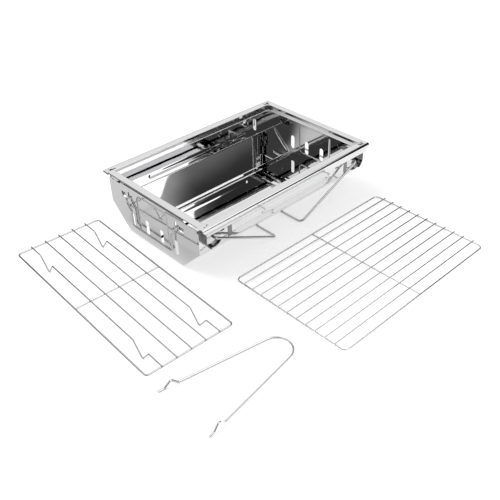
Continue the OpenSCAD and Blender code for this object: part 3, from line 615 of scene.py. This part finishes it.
edge_line = [(-BRACKET_R, w, -1.0, 0.0, STOP_DEPTH) for w in (HANG_Z, HANG_Z / 2)]
for start, end, deep in ((180, STOP_ENDS, STOP_DEPTH), (STOP_ENDS + 1, CUP_ENDS, CUP_DEPTH)):
    degrees = [*np.arange(start, end, EDGE_STEP), end]
    edge_line += [(BRACKET_R * u, BRACKET_R * w, u, w, deep) for u, w in cup_arc(1.0, degrees)]
disc = [(-BRACKET_R + BRACKET_BEND, HANG_Z)]
disc += cup_arc(BRACKET_R - BRACKET_BEND, np.linspace(180, CUP_ENDS, CUP_POINTS))
disc += cup_arc(BRACKET_R, np.linspace(CUP_ENDS, 360, OPEN_POINTS)) + [(BRACKET_R, HANG_Z)]
bore = cup_arc(BORE_R, np.arange(BORE_SIDES) * 360 / BORE_SIDES)
CORNERS = [(f"{side_name}_{end_name}", sx, sy) for end_name, sx in ENDS for side_name, sy in SIDES]
for corner, sx, sy in CORNERS:
    grids = ([], [])
    for u, w, out_u, out_w, deep in edge_line:
        section, left = bend_path(
            [(BRACKET_BEND, BRACKET_T / 2), (BRACKET_T / 2, BRACKET_T / 2),
             (BRACKET_T / 2, deep)], [BRACKET_BEND - BRACKET_T / 2 - BEND_SLACK], steps=6)
        for grid, side in zip(grids, (0.5, -0.5)):
            face = section + left * side * BRACKET_T
            grid.append([cup_point(u - out_u * a, w - out_w * a, sx, sy, WALL_Y + b)
                         for a, b in face])
    edge_part = sheet_part(np.array(grids[0]), np.array(grids[1]))
    cup = make_piece(f"{corner}_leg_cup", [
        edge_part, slab_part([disc, bore], WALL_Y, WALL_Y + BRACKET_T,
                             lambda u, w, y: cup_point(u, w, sx, sy, y))])
    cup.data.materials.append(bracket_steel)
    cup.data.materials.append(edge_shade_steel)
    # The cup's edge faces take the dark grey steel: painted dark reflection.
    for face in cup.data.polygons[:len(edge_part[1])]:
        face.material_index = 1
    place_on(cup, "grill_body", "polished_sheet", f"{corner}_leg_bracket")

# Leg stops: short stainless strips bent into a hook and spot-welded to the wall under the rail.
# The folded leg's arm rests behind the strip's lower end.
STOP_X, STOP_LOW_Z, STOP_PAD_Z, STOP_OUT_Y = (147.5, 156.5), 63.0, 84.0, 138.2
STOP_BEND = 1.6
hook_in_y, hook_out_y = WALL_Y + BRACKET_T / 2, STOP_OUT_Y - BRACKET_T / 2
hook_top = PIVOT_Z + HANG_Z - BRACKET_T / 2
for corner, sx, sy in CORNERS:
    hook = make_piece(f"{corner}_stop_strip", [strip_part(
        [(hook_in_y, STOP_PAD_Z), (hook_in_y, hook_top), (hook_out_y, hook_top),
         (hook_out_y, STOP_LOW_Z)],
        [STOP_BEND, STOP_BEND], BRACKET_T, STOP_X, lambda u, v, w: (sx * w, sy * u, v))])
    # The stop strip takes the dark grey steel: painted dark reflection.
    hook.data.materials.append(edge_shade_steel)
    place_on(hook, "grill_body", "polished_sheet", f"{corner}_leg_stop")

# Handle lugs: small stainless channels spot-welded inside the end plates, with a hole through
# both ears that the end of the handle springs into.
LUG_EDGE, LUG_EDGE_ANGLE, FLAT_ANGLE = 0.35, math.radians(40), math.radians(1)
# Painted shade: the lugs get a very dark grey steel (grey 0.2), so that they look dark through the
# windows of the end plates.
lug_shade_steel = steel("Handle lug, painted dark as shade", grey=0.2, rough=0.06, wave=0.0002,
                  grain_way=[420] * 3, grain=6e-6, smudge=0.5)
for corner, _, _ in CORNERS:
    node = f"{corner}_handle_lug"
    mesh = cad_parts[node].data.copy()
    tidy = bmesh.new()
    tidy.from_mesh(mesh)
    bmesh.ops.remove_doubles(tidy, verts=tidy.verts, dist=TINY)
    bmesh.ops.dissolve_limit(tidy, angle_limit=FLAT_ANGLE, verts=tidy.verts, edges=tidy.edges)
    tidy.to_mesh(mesh)
    tidy.free()
    mesh.materials.clear()
    lug = add_object(f"{corner}_lug_channel", mesh)
    edge = lug.modifiers.new("Soft edges", "BEVEL")
    edge.width, edge.segments, edge.angle_limit = LUG_EDGE * MM, 2, LUG_EDGE_ANGLE
    settle(lug)
    lug.data.materials.append(lug_shade_steel)
    place_on(lug, "grill_body", "polished_sheet", node)

# Legs: each is one bent round wire, with a crossbar at the foot and two arms whose ends turn out
# through the brackets into the wall. Folded, the crossbars lie under the trough.
LEG_R = 2.4
LEG_POINTS = ((PIVOT_X, 123.0, PIVOT_Z), (PIVOT_X, 138.5, PIVOT_Z), (34.0, 131.5, -2.7))
LEG_BENDS = (0.0, 4.0, 10.0)
WIRE_SIDES, WIRE_BEND_POINTS, WIRE_MERGE = 20, 9, 1e-7


def start_tree(name, inputs):
    """A node tree with its named inputs, and the identifier of each"""
    tree = bpy.data.node_groups.new(name, "GeometryNodeTree")
    keys = {}
    for label, kind in inputs:
        socket = tree.interface.new_socket(label, in_out="INPUT", socket_type="NodeSocket" + kind)
        keys[label] = socket.identifier
    return tree, tree.nodes.new("NodeGroupInput"), keys


def end_tree(tree, given, shape, output):
    """Ends a tree in Realize Instances and Set Material"""
    tree.interface.new_socket("Wires", in_out="OUTPUT", socket_type="NodeSocketGeometry")
    whole = tree.nodes.new("GeometryNodeRealizeInstances")
    finish = tree.nodes.new("GeometryNodeSetMaterial")
    join((shape, output, whole, "Geometry"), (whole, "Geometry", finish, "Geometry"),
         (given, "Finish", finish, "Material"),
         (finish, "Geometry", tree.nodes.new("NodeGroupOutput"), "Wires"))


def wire_tree():
    """Nodes that round the corners of a path and draw a wire along it"""
    tree, given, keys = start_tree("Bent wire", (
        ("Path", "Geometry"), ("Wire radius", "Float"), ("Points in a bend", "Int"),
        ("Points round the wire", "Int"), ("Finish", "Material")))
    curve = tree.nodes.new("GeometryNodeMeshToCurve")
    bends = tree.nodes.new("GeometryNodeInputNamedAttribute")
    bends.data_type = "FLOAT"
    bends.inputs["Name"].default_value = "bend"
    fillet = tree.nodes.new("GeometryNodeFilletCurve")
    fillet.mode = "POLY"
    circle = tree.nodes.new("GeometryNodeCurvePrimitiveCircle")
    draw = tree.nodes.new("GeometryNodeCurveToMesh")
    draw.inputs["Fill Caps"].default_value = True
    join((given, "Path", curve, "Mesh"), (curve, "Curve", fillet, "Curve"),
         (given, "Points in a bend", fillet, "Count"), (bends, "Attribute", fillet, "Radius"),
         (given, "Wire radius", circle, "Radius"),
         (given, "Points round the wire", circle, "Resolution"),
         (fillet, "Curve", draw, "Curve"), (circle, "Curve", draw, "Profile Curve"))
    end_tree(tree, given, draw, "Mesh")
    return tree, keys


WIRE_TREE = wire_tree()


def draw_piece(piece, tree, keys, values):
    """Gives a piece a node tree with its inputs, and makes a plain closed mesh of the result"""
    drawn = piece.modifiers.new(tree.name, "NODES")
    drawn.node_group = tree
    for label, value in values.items():
        drawn[keys[label]] = value
    settle(piece)
    face_outwards(piece.data, WIRE_MERGE)
    shade(piece)


def bent_wire(name, runs, radius, material, around=WIRE_SIDES, closed=False):
    """A piece of one or more wires, each given as corner points with their bend radii"""
    points, edges, bends = [], [], []
    for corners, radii in runs:
        first = len(points)
        points += [tuple(float(c) * MM for c in p) for p in corners]
        bends += [r * MM for r in radii]
        edges += [(k, k + 1) for k in range(first, len(points) - 1)]
        if closed:
            edges.append((len(points) - 1, first))
    mesh = bpy.data.meshes.new(name)
    mesh.from_pydata(points, edges, [])
    mesh.attributes.new("bend", "FLOAT", "POINT").data.foreach_set("value", bends)
    wire = add_object(name, mesh)
    draw_piece(wire, *WIRE_TREE, {
        "Wire radius": radius * MM, "Points in a bend": WIRE_BEND_POINTS,
        "Points round the wire": around, "Finish": material})
    return wire


def wire_steel(name, grey, rough, marks=300):
    """Bright drawn wire"""
    return steel(name, grey, rough, wave=0.0001, grain_way=[marks] * 3, grain=8e-6, smudge=0.5)


def end_wires(what, points, bends, radius, material):
    """One bent wire at each end of the grill, from the corners and bends of its far half"""
    for end_name, out in ENDS:
        far = [(out * x, y, z) for x, y, z in points]
        near = [(x, -y, z) for x, y, z in reversed(far)]
        wire = bent_wire(f"{end_name}_{what}_wire", [(far + near, bends + bends[::-1])], radius,
                         material)
        place_on(wire, f"{end_name}_{what}", "bright_wire", f"{end_name}_{what}")


end_wires("leg", LEG_POINTS, LEG_BENDS, LEG_R,
          wire_steel("Bright leg wire", grey=0.62, rough=0.03, marks=260))

# Handles: each is one bent round wire that hangs outside the end plate. Its cranks go in through
# the slots, and its ends spring outwards into the lugs.
HANDLE_R = 2.0
HANDLE_POINTS = ((210.9, 95.8, 79.0), (210.9, 68.3, 79.0), (219.5, 68.3, 79.0),
                 (219.5, 68.3, 70.0), (219.5, 58.0, 57.0), (219.5, 58.0, 24.0))
HANDLE_BENDS = (0.0, 4.0, 4.0, 4.0, 4.0, 4.0)
end_wires("handle", HANDLE_POINTS, HANDLE_BENDS, HANDLE_R,
          wire_steel("Bright handle wire", grey=0.72, rough=0.045, marks=260))

# Cooking grate: a rectangular frame of chromed wire with eleven bars welded on top and one cross
# wire under them. It lies on the surface in front of the trough.
COOK_PLACE, COOK_TURN = (18.5, -298.6), -0.62
COOK_L, COOK_W, COOK_CORNER_R = 384.0, 251.0, 9.0
COOK_FRAME_R, COOK_BAR_R, COOK_BARS = 1.4, 1.2, 11
COOK_Z, COOK_BAR_Z, COOK_CROSS_Z = -3.7, -1.25, -3.5
BAR_PAST, BAR_SIDES = 2.5, 16


def laid(points, place, turn):
    """Moves points to the place of a piece that lies turned on the surface"""
    a = math.radians(turn)
    return [(place[0] + x * math.cos(a) - y * math.sin(a),
             place[1] + x * math.sin(a) + y * math.cos(a), z) for x, y, z in points]


def frame_corners(length, width, z):
    """The corners of a level rectangle about the origin"""
    return [(sx * length / 2, sy * width / 2, z)
            for sx, sy in ((-1, -1), (1, -1), (1, 1), (-1, 1))]


def bars_tree():
    """Nodes that draw one straight bar and repeat it side by side"""
    tree, given, keys = start_tree("Row of bars", (
        ("Given", "Geometry"), ("Half length", "Vector"), ("Bar radius", "Float"),
        ("Bars", "Int"), ("First bar", "Vector"), ("Step", "Vector"), ("Place", "Vector"),
        ("Turn", "Vector"), ("Finish", "Material")))
    back = tree.nodes.new("ShaderNodeVectorMath")
    back.operation = "SCALE"
    back.inputs["Scale"].default_value = -1.0
    line = tree.nodes.new("GeometryNodeCurvePrimitiveLine")
    circle = tree.nodes.new("GeometryNodeCurvePrimitiveCircle")
    circle.inputs["Resolution"].default_value = BAR_SIDES
    draw = tree.nodes.new("GeometryNodeCurveToMesh")
    draw.inputs["Fill Caps"].default_value = True
    row = tree.nodes.new("GeometryNodeMeshLine")
    row.mode = "OFFSET"
    repeat = tree.nodes.new("GeometryNodeInstanceOnPoints")
    move = tree.nodes.new("GeometryNodeTransform")
    join((given, "Half length", back, 0), (back, 0, line, "Start"),
         (given, "Half length", line, "End"), (given, "Bar radius", circle, "Radius"),
         (line, "Curve", draw, "Curve"), (circle, "Curve", draw, "Profile Curve"),
         (given, "Bars", row, "Count"), (given, "First bar", row, "Start Location"),
         (given, "Step", row, "Offset"), (row, "Mesh", repeat, "Points"),
         (draw, "Mesh", repeat, "Instance"), (repeat, "Instances", move, "Geometry"),
         (given, "Place", move, "Translation"), (given, "Turn", move, "Rotation"))
    end_tree(tree, given, move, "Geometry")
    return tree, keys


BARS_TREE = bars_tree()


def bar_row(name, half_length, radius, count, pitch, place, turn, material):
    """Straight bars along X, side by side along Y, turned and put in their place"""
    row = add_object(name, bpy.data.meshes.new(name))
    draw_piece(row, *BARS_TREE, {
        "Half length": (half_length * MM, 0, 0), "Bar radius": radius * MM, "Bars": count,
        "First bar": (0, -(count - 1) / 2 * pitch * MM, 0), "Step": (0, pitch * MM, 0),
        "Place": [c * MM for c in place], "Turn": (0, 0, math.radians(turn)),
        "Finish": material})
    return row


grate_steel = wire_steel("Chromed grate wire", grey=0.7, rough=0.06)
cook_frame = bent_wire("cooking_grate_frame_wire", [(
    laid(frame_corners(COOK_L, COOK_W, COOK_Z), COOK_PLACE, COOK_TURN), [COOK_CORNER_R] * 4)],
    COOK_FRAME_R, grate_steel, closed=True)
place_on(cook_frame, "cooking_grate", "bright_wire", "cooking_grate_frame")
cook_bars = bar_row("cooking_grate_bar_wires", COOK_L / 2 + BAR_PAST, COOK_BAR_R, COOK_BARS,
                    COOK_W / (COOK_BARS + 1), COOK_PLACE + (COOK_BAR_Z,), COOK_TURN, grate_steel)
place_on(cook_bars, "cooking_grate", "bright_wire", "cooking_grate_bars")
cook_cross = bar_row("cooking_grate_cross_wire", (COOK_W - 2 * COOK_FRAME_R) / 2, COOK_BAR_R, 1, 0,
                     COOK_PLACE + (COOK_CROSS_Z,), COOK_TURN + 90, grate_steel)
place_on(cook_cross, "cooking_grate", "bright_wire", "cooking_grate_crossbar")

# Charcoal grate: a narrow wire frame with three plain bars and two bars that are bent down into
# pointed feet, all welded on top of it, and one cross wire. The feet stand it off the bottom.
COAL_PLACE, COAL_TURN = (-340.1, -66.4), -2.44
COAL_L, COAL_W, COAL_CORNER_R = 400.0, 162.0, 6.0
COAL_FRAME_R, COAL_BAR_R, COAL_BARS, COAL_PITCH = 1.5, 1.2, 3, 27.0
FOOT_Y, FOOT_W, FOOT_H, FOOT_BEND = 146.0, 42.0, 25.5, 3.0
FLOOR_Z, WELD_SINK = -5.1, 0.15
foot_slope = math.atan(2 * FOOT_H / FOOT_W)
coal_bar_z = FLOOR_Z + COAL_BAR_R + FOOT_H - FOOT_BEND * (1 / math.cos(foot_slope) - 1)
coal_frame_z = coal_bar_z - COAL_FRAME_R - COAL_BAR_R + WELD_SINK
coal_cross_z = coal_bar_z - 2 * COAL_BAR_R + WELD_SINK
coal_frame = bent_wire("charcoal_grate_frame_wire", [(
    laid(frame_corners(COAL_W, COAL_L, coal_frame_z), COAL_PLACE, COAL_TURN),
    [COAL_CORNER_R] * 4)], COAL_FRAME_R, grate_steel, closed=True)
place_on(coal_frame, "charcoal_grate", "bright_wire", "charcoal_grate_frame")
coal_bars = bar_row("charcoal_grate_bar_wires", COAL_L / 2 + BAR_PAST, COAL_BAR_R, COAL_BARS,
                    COAL_PITCH, COAL_PLACE + (coal_bar_z,), COAL_TURN + 90, grate_steel)
place_on(coal_bars, "charcoal_grate", "bright_wire", "charcoal_grate_bars")
coal_cross = bar_row("charcoal_grate_cross_wire", (COAL_W - 2 * COAL_FRAME_R) / 2, COAL_BAR_R, 1,
                     0, COAL_PLACE + (coal_cross_z,), COAL_TURN, grate_steel)
place_on(coal_cross, "charcoal_grate", "bright_wire", "charcoal_grate_crossbar")
footed = []
reach = COAL_L / 2 + BAR_PAST
for x in (-2 * COAL_PITCH, 2 * COAL_PITCH):
    shape = [(-reach, 0)]
    for foot in (-FOOT_Y, FOOT_Y):
        shape += [(foot - FOOT_W / 2, 0), (foot, -FOOT_H), (foot + FOOT_W / 2, 0)]
    shape.append((reach, 0))
    footed.append((laid([(x, y, coal_bar_z + z) for y, z in shape], COAL_PLACE, COAL_TURN),
                   [0] + [FOOT_BEND] * 6 + [0]))
coal_feet = bent_wire("charcoal_grate_footed_wires", footed, COAL_BAR_R, grate_steel, BAR_SIDES)
place_on(coal_feet, "charcoal_grate", "bright_wire", "charcoal_grate_footed_bars")

# Grate lifter: one springy wire with a round bow and two arms that open apart. A hump and a flat
# tip at each end hook under the grate's bars.
LIFTER_R, BOW_R, BOW_POINTS, ARM_OPENS = 1.75, 27.0, 33, 9.5
ARM_L, HUMP_L, HUMP_H, TIP_L, HUMP_BEND = 155.0, 22.0, 11.0, 11.0, 3.5
LIFTER_PLACE, LIFTER_TURN, LIFTER_Z = (-246.0, -342.5), -1.0, -3.35
lifter_steel = wire_steel("Bright lifter wire", grey=0.86, rough=0.05)
opens = math.radians(ARM_OPENS)
bow_end_x, bow_end_y = BOW_R * math.sin(opens), BOW_R * math.cos(opens)
arm_shape = [(ARM_L, 0), (ARM_L + HUMP_L / 2, HUMP_H), (ARM_L + HUMP_L, 0),
             (ARM_L + HUMP_L + TIP_L, 0)]
arm = [(bow_end_x - s * math.cos(opens), bow_end_y + s * math.sin(opens), LIFTER_Z + z)
       for s, z in arm_shape]
bow = [(BOW_R * math.cos(a), BOW_R * math.sin(a), LIFTER_Z)
       for a in np.linspace(opens - math.pi / 2, math.pi / 2 - opens, BOW_POINTS)]
lifter_path = [(x, -y, z) for x, y, z in reversed(arm)] + bow + arm
arm_bends = [HUMP_BEND] * 3 + [0]
lifter = bent_wire("grate_lifter_wire", [(laid(lifter_path, LIFTER_PLACE, LIFTER_TURN),
                                          arm_bends[::-1] + [0] * len(bow) + arm_bends)],
                   LIFTER_R, lifter_steel)
place_on(lifter, "grate_lifter", "bright_wire", "grate_lifter")

# Studio floor: a white surface under the pieces, which the camera sees white and which keeps the
# soft shadows. In mirror reflections it is darker on the left, brighter in front, and nearly
# black past the edge of the table.
FLOOR_HALF, FLOOR_COLOUR, FLOOR_GLOW = 6.0, 0.62, 0.57
RIGHT_GLOW, FRONT_GLOW = (-0.24, -0.19, 0.07, 0.46), (-0.32, -0.38, 0.0, 0.6)
TABLE_EDGE, BEYOND_LEVEL = (0.6, 0.9), 0.03


def node_length(*sides):
    """The length of the diagonal between two sides"""
    squares = [node_maths("POWER", side, 2.0) for side in sides]
    return node_maths("SQRT", node_maths("ADD", *squares))


floor_mesh = bpy.data.meshes.new("studio_floor")
floor_mesh.from_pydata(frame_corners(2 * FLOOR_HALF, 2 * FLOOR_HALF, FLOOR_Z * MM), [],
                       [(0, 1, 2, 3)])
floor = add_object("studio_floor", floor_mesh)
floor_look = bpy.data.materials.new("Pale studio floor")
floor_look.use_nodes = True
tree = floor_look.node_tree
tree.nodes.clear()
paint = tree.nodes.new("ShaderNodeBsdfDiffuse")
paint.inputs["Color"].default_value = [FLOOR_COLOUR] * 3 + [1]
rays = tree.nodes.new("ShaderNodeLightPath")
seen, glossy = rays.outputs["Is Camera Ray"], rays.outputs["Is Glossy Ray"]
spot = tree.nodes.new("ShaderNodeSeparateXYZ")
reflected = node_maths("ADD", node_range(spot.outputs["X"], *RIGHT_GLOW),
                       node_range(spot.outputs["Y"], *FRONT_GLOW))
glow = tree.nodes.new("ShaderNodeEmission")
tree.links.new(node_maths("ADD", node_maths("MULTIPLY", seen, FLOOR_GLOW),
                          node_maths("MULTIPLY", glossy, reflected)),
               glow.inputs["Strength"])
beyond = tree.nodes.new("ShaderNodeEmission")
beyond.inputs["Strength"].default_value = BEYOND_LEVEL
distance = node_length(spot.outputs["X"], spot.outputs["Y"])
both = tree.nodes.new("ShaderNodeAddShader")
ground = tree.nodes.new("ShaderNodeMixShader")
tree.links.new(node_maths("MULTIPLY", glossy, node_range(distance, *TABLE_EDGE)),
               ground.inputs["Fac"])
join((tree.nodes.new("ShaderNodeTexCoord"), "Object", spot, 0), (paint, 0, both, 0),
     (glow, 0, both, 1), (both, 0, ground, 1), (beyond, 0, ground, 2),
     (ground, 0, tree.nodes.new("ShaderNodeOutputMaterial"), "Surface"))
floor_mesh.materials.append(floor_look)

# Studio light: even white light from all round, with one broad lamp behind on the left. In mirror
# reflections the white room has a bright softbox, a dark opening in front on the right, and dim
# patches. Angles are in degrees: turned goes right from the near side, and raised goes up.
ROOM_LEVEL, ROOM_MIRRORED = 0.62, 0.88
OPENING_LEFT, OPENING_RIGHT = (33, 44, 36.5, 40.5), (106, 98)
LEFT_TOP, RIGHT_TOP, TOP_BENDS = (0.125, 42.2, 45.3), (-0.4, 43.9, 45.95), 52.0
OPENING_R, OPENING_SOFT = 1.2, 0.2
TOP_GLOW, LEFT_GLOW = (3.2, 0.2, 0.02, 0.09), (2.6, 0.2, 0.0, 0.07)
CORNER_GLOW, CORNER_GLOW_END = (2.2, 0.0, 0.0, 0.12), (47, 44)
SOFTBOX = (("turned", -14, -4), ("turned", 100, 60), ("raised", 80, 70))
BACK_LEFT = (("turned", -172, -164), ("turned", -133, -138), ("raised", 43, 36))
CAMERA_SIDE = (("turned", -84, -78), ("turned", -30, -37), ("raised", 52, 49))
STREAK_WIDTH = (("turned", -62, -59), ("turned", -51.5, -53))
STREAK_HEIGHT = (("raised", 32, 34), ("raised", 38.7, 36.7))
LOW_BAND = (("raised", 24, 18),)
FAR_RIGHT = (("right", 0.62, 0.7), ("back", 0.5, 0.42))
BEHIND = (("either way", 153, 160), ("raised", 43, 36))
SOFTBOX_LEVEL, BACK_LEFT_LEVEL, CAMERA_LEVEL, STREAK_LEVEL = 1.75, 0.09, 0.06, 0.75
LOW_LEVEL, FAR_RIGHT_LEVEL, BEHIND_LEVEL = 0.03, 0.05, 0.07
LAMP_SIZE, LAMP_POWER, LAMP_PLACE = 3.2, 100.0, (-1.5, 1.8, 3.8)
world = bpy.data.worlds.new("White studio")
bpy.context.scene.world = world
world.use_nodes = True
tree = world.node_tree
shine = tree.nodes["Background"]
shine.inputs["Color"].default_value = (1, 1, 1, 1)
rays = tree.nodes.new("ShaderNodeLightPath")
way = tree.nodes.new("ShaderNodeSeparateXYZ")
join((tree.nodes.new("ShaderNodeTexCoord"), "Generated", way, 0))
to_degrees = 180 / math.pi
turned = node_maths("ARCTAN2", way.outputs["X"], node_maths("MULTIPLY", way.outputs["Y"], -1.0))
turned = node_maths("MULTIPLY", turned, to_degrees)
raised = node_maths("MULTIPLY", node_maths("ARCSINE", way.outputs["Z"]), to_degrees)
directions = {"turned": turned, "either way": node_maths("ABSOLUTE", turned),
              "raised": raised, "right": way.outputs["X"], "back": way.outputs["Y"]}


def patch(edges):
    """How far inside a patch of the room a direction is: 1 past all of its soft edges"""
    return reduce(lambda a, b: node_maths("MULTIPLY", a, b),
                  [node_range(directions[key], outer, inner) for key, outer, inner in edges])


def under_line(along, slope, at_turned, at_raised):
    """How far a direction is under a sloping line through a point of the opening's top"""
    line = node_maths("MULTIPLY_ADD", along, slope, at_raised - slope * at_turned)
    return node_maths("SUBTRACT", line, raised)


past_left = node_maths("SUBTRACT", turned, node_range(raised, *OPENING_LEFT))
left_top = under_line(turned, *LEFT_TOP)
right_top = under_line(node_maths("MINIMUM", turned, TOP_BENDS), *RIGHT_TOP)
under_top = node_maths("MINIMUM", left_top, right_top)
short = [node_maths("MAXIMUM", node_maths("SUBTRACT", OPENING_R, gap), 0.0)
         for gap in (past_left, under_top)]
opening = node_maths(
    "MULTIPLY", node_range(node_length(*short), OPENING_R, OPENING_R - OPENING_SOFT),
    node_range(turned, *OPENING_RIGHT))
opening_level = node_maths("ADD", node_range(under_top, *TOP_GLOW),
                           node_range(past_left, *LEFT_GLOW))
opening_level = node_maths("MULTIPLY_ADD", node_range(left_top, *CORNER_GLOW),
                           node_range(turned, *CORNER_GLOW_END), opening_level)
streak = node_maths("MULTIPLY", patch(STREAK_WIDTH), patch(STREAK_HEIGHT))
camera_level = node_maths("MULTIPLY_ADD", streak, STREAK_LEVEL, CAMERA_LEVEL)
room = ROOM_MIRRORED
for loss, inside in (
        (1 - SOFTBOX_LEVEL, patch(SOFTBOX)),
        (node_maths("SUBTRACT", 1.0, opening_level), opening),
        (1 - BACK_LEFT_LEVEL, patch(BACK_LEFT)),
        (node_maths("SUBTRACT", 1.0, camera_level), patch(CAMERA_SIDE)),
        (1 - LOW_LEVEL, patch(LOW_BAND)), (1 - FAR_RIGHT_LEVEL, patch(FAR_RIGHT)),
        (1 - BEHIND_LEVEL, patch(BEHIND))):
    left_over = node_maths("SUBTRACT", 1.0, node_maths("MULTIPLY", inside, loss))
    room = node_maths("MULTIPLY", room, left_over)
level = node_maths("MULTIPLY_ADD", rays.outputs["Is Glossy Ray"],
                   node_maths("SUBTRACT", room, ROOM_LEVEL), ROOM_LEVEL)
level = node_maths("MULTIPLY_ADD", rays.outputs["Is Camera Ray"],
                   node_maths("SUBTRACT", 1.0, level), level)
tree.links.new(level, shine.inputs["Strength"])
lamp_data = bpy.data.lights.new("Broad lamp", "AREA")
lamp_data.shape, lamp_data.size, lamp_data.energy = "DISK", LAMP_SIZE, LAMP_POWER
lamp = add_object("Broad lamp", lamp_data)
lamp.location = LAMP_PLACE
lamp.rotation_euler = (-Vector(LAMP_PLACE)).to_track_quat("-Z", "Y").to_euler()
lamp.visible_glossy = False

# Camera: stands in front on the left at the photograph's angle, with a small shift for framing.
CAMERA_PLACE, CAMERA_TURN = (-0.79327, -0.90200, 0.76465), (53.868, 0.0, -45.729)
LENS, FILM_W, SHIFT_X, SHIFT_Y = 50.67, 36.0, -0.0759, -0.0075
camera_data = bpy.data.cameras.new("Camera")
camera_data.lens, camera_data.sensor_width = LENS, FILM_W
camera_data.shift_x, camera_data.shift_y = SHIFT_X, SHIFT_Y
camera = add_object("Camera", camera_data)
camera.location = CAMERA_PLACE
camera.rotation_euler = [math.radians(a) for a in CAMERA_TURN]
bpy.context.scene.camera = camera
bpy.context.scene.view_settings.view_transform = "Standard"
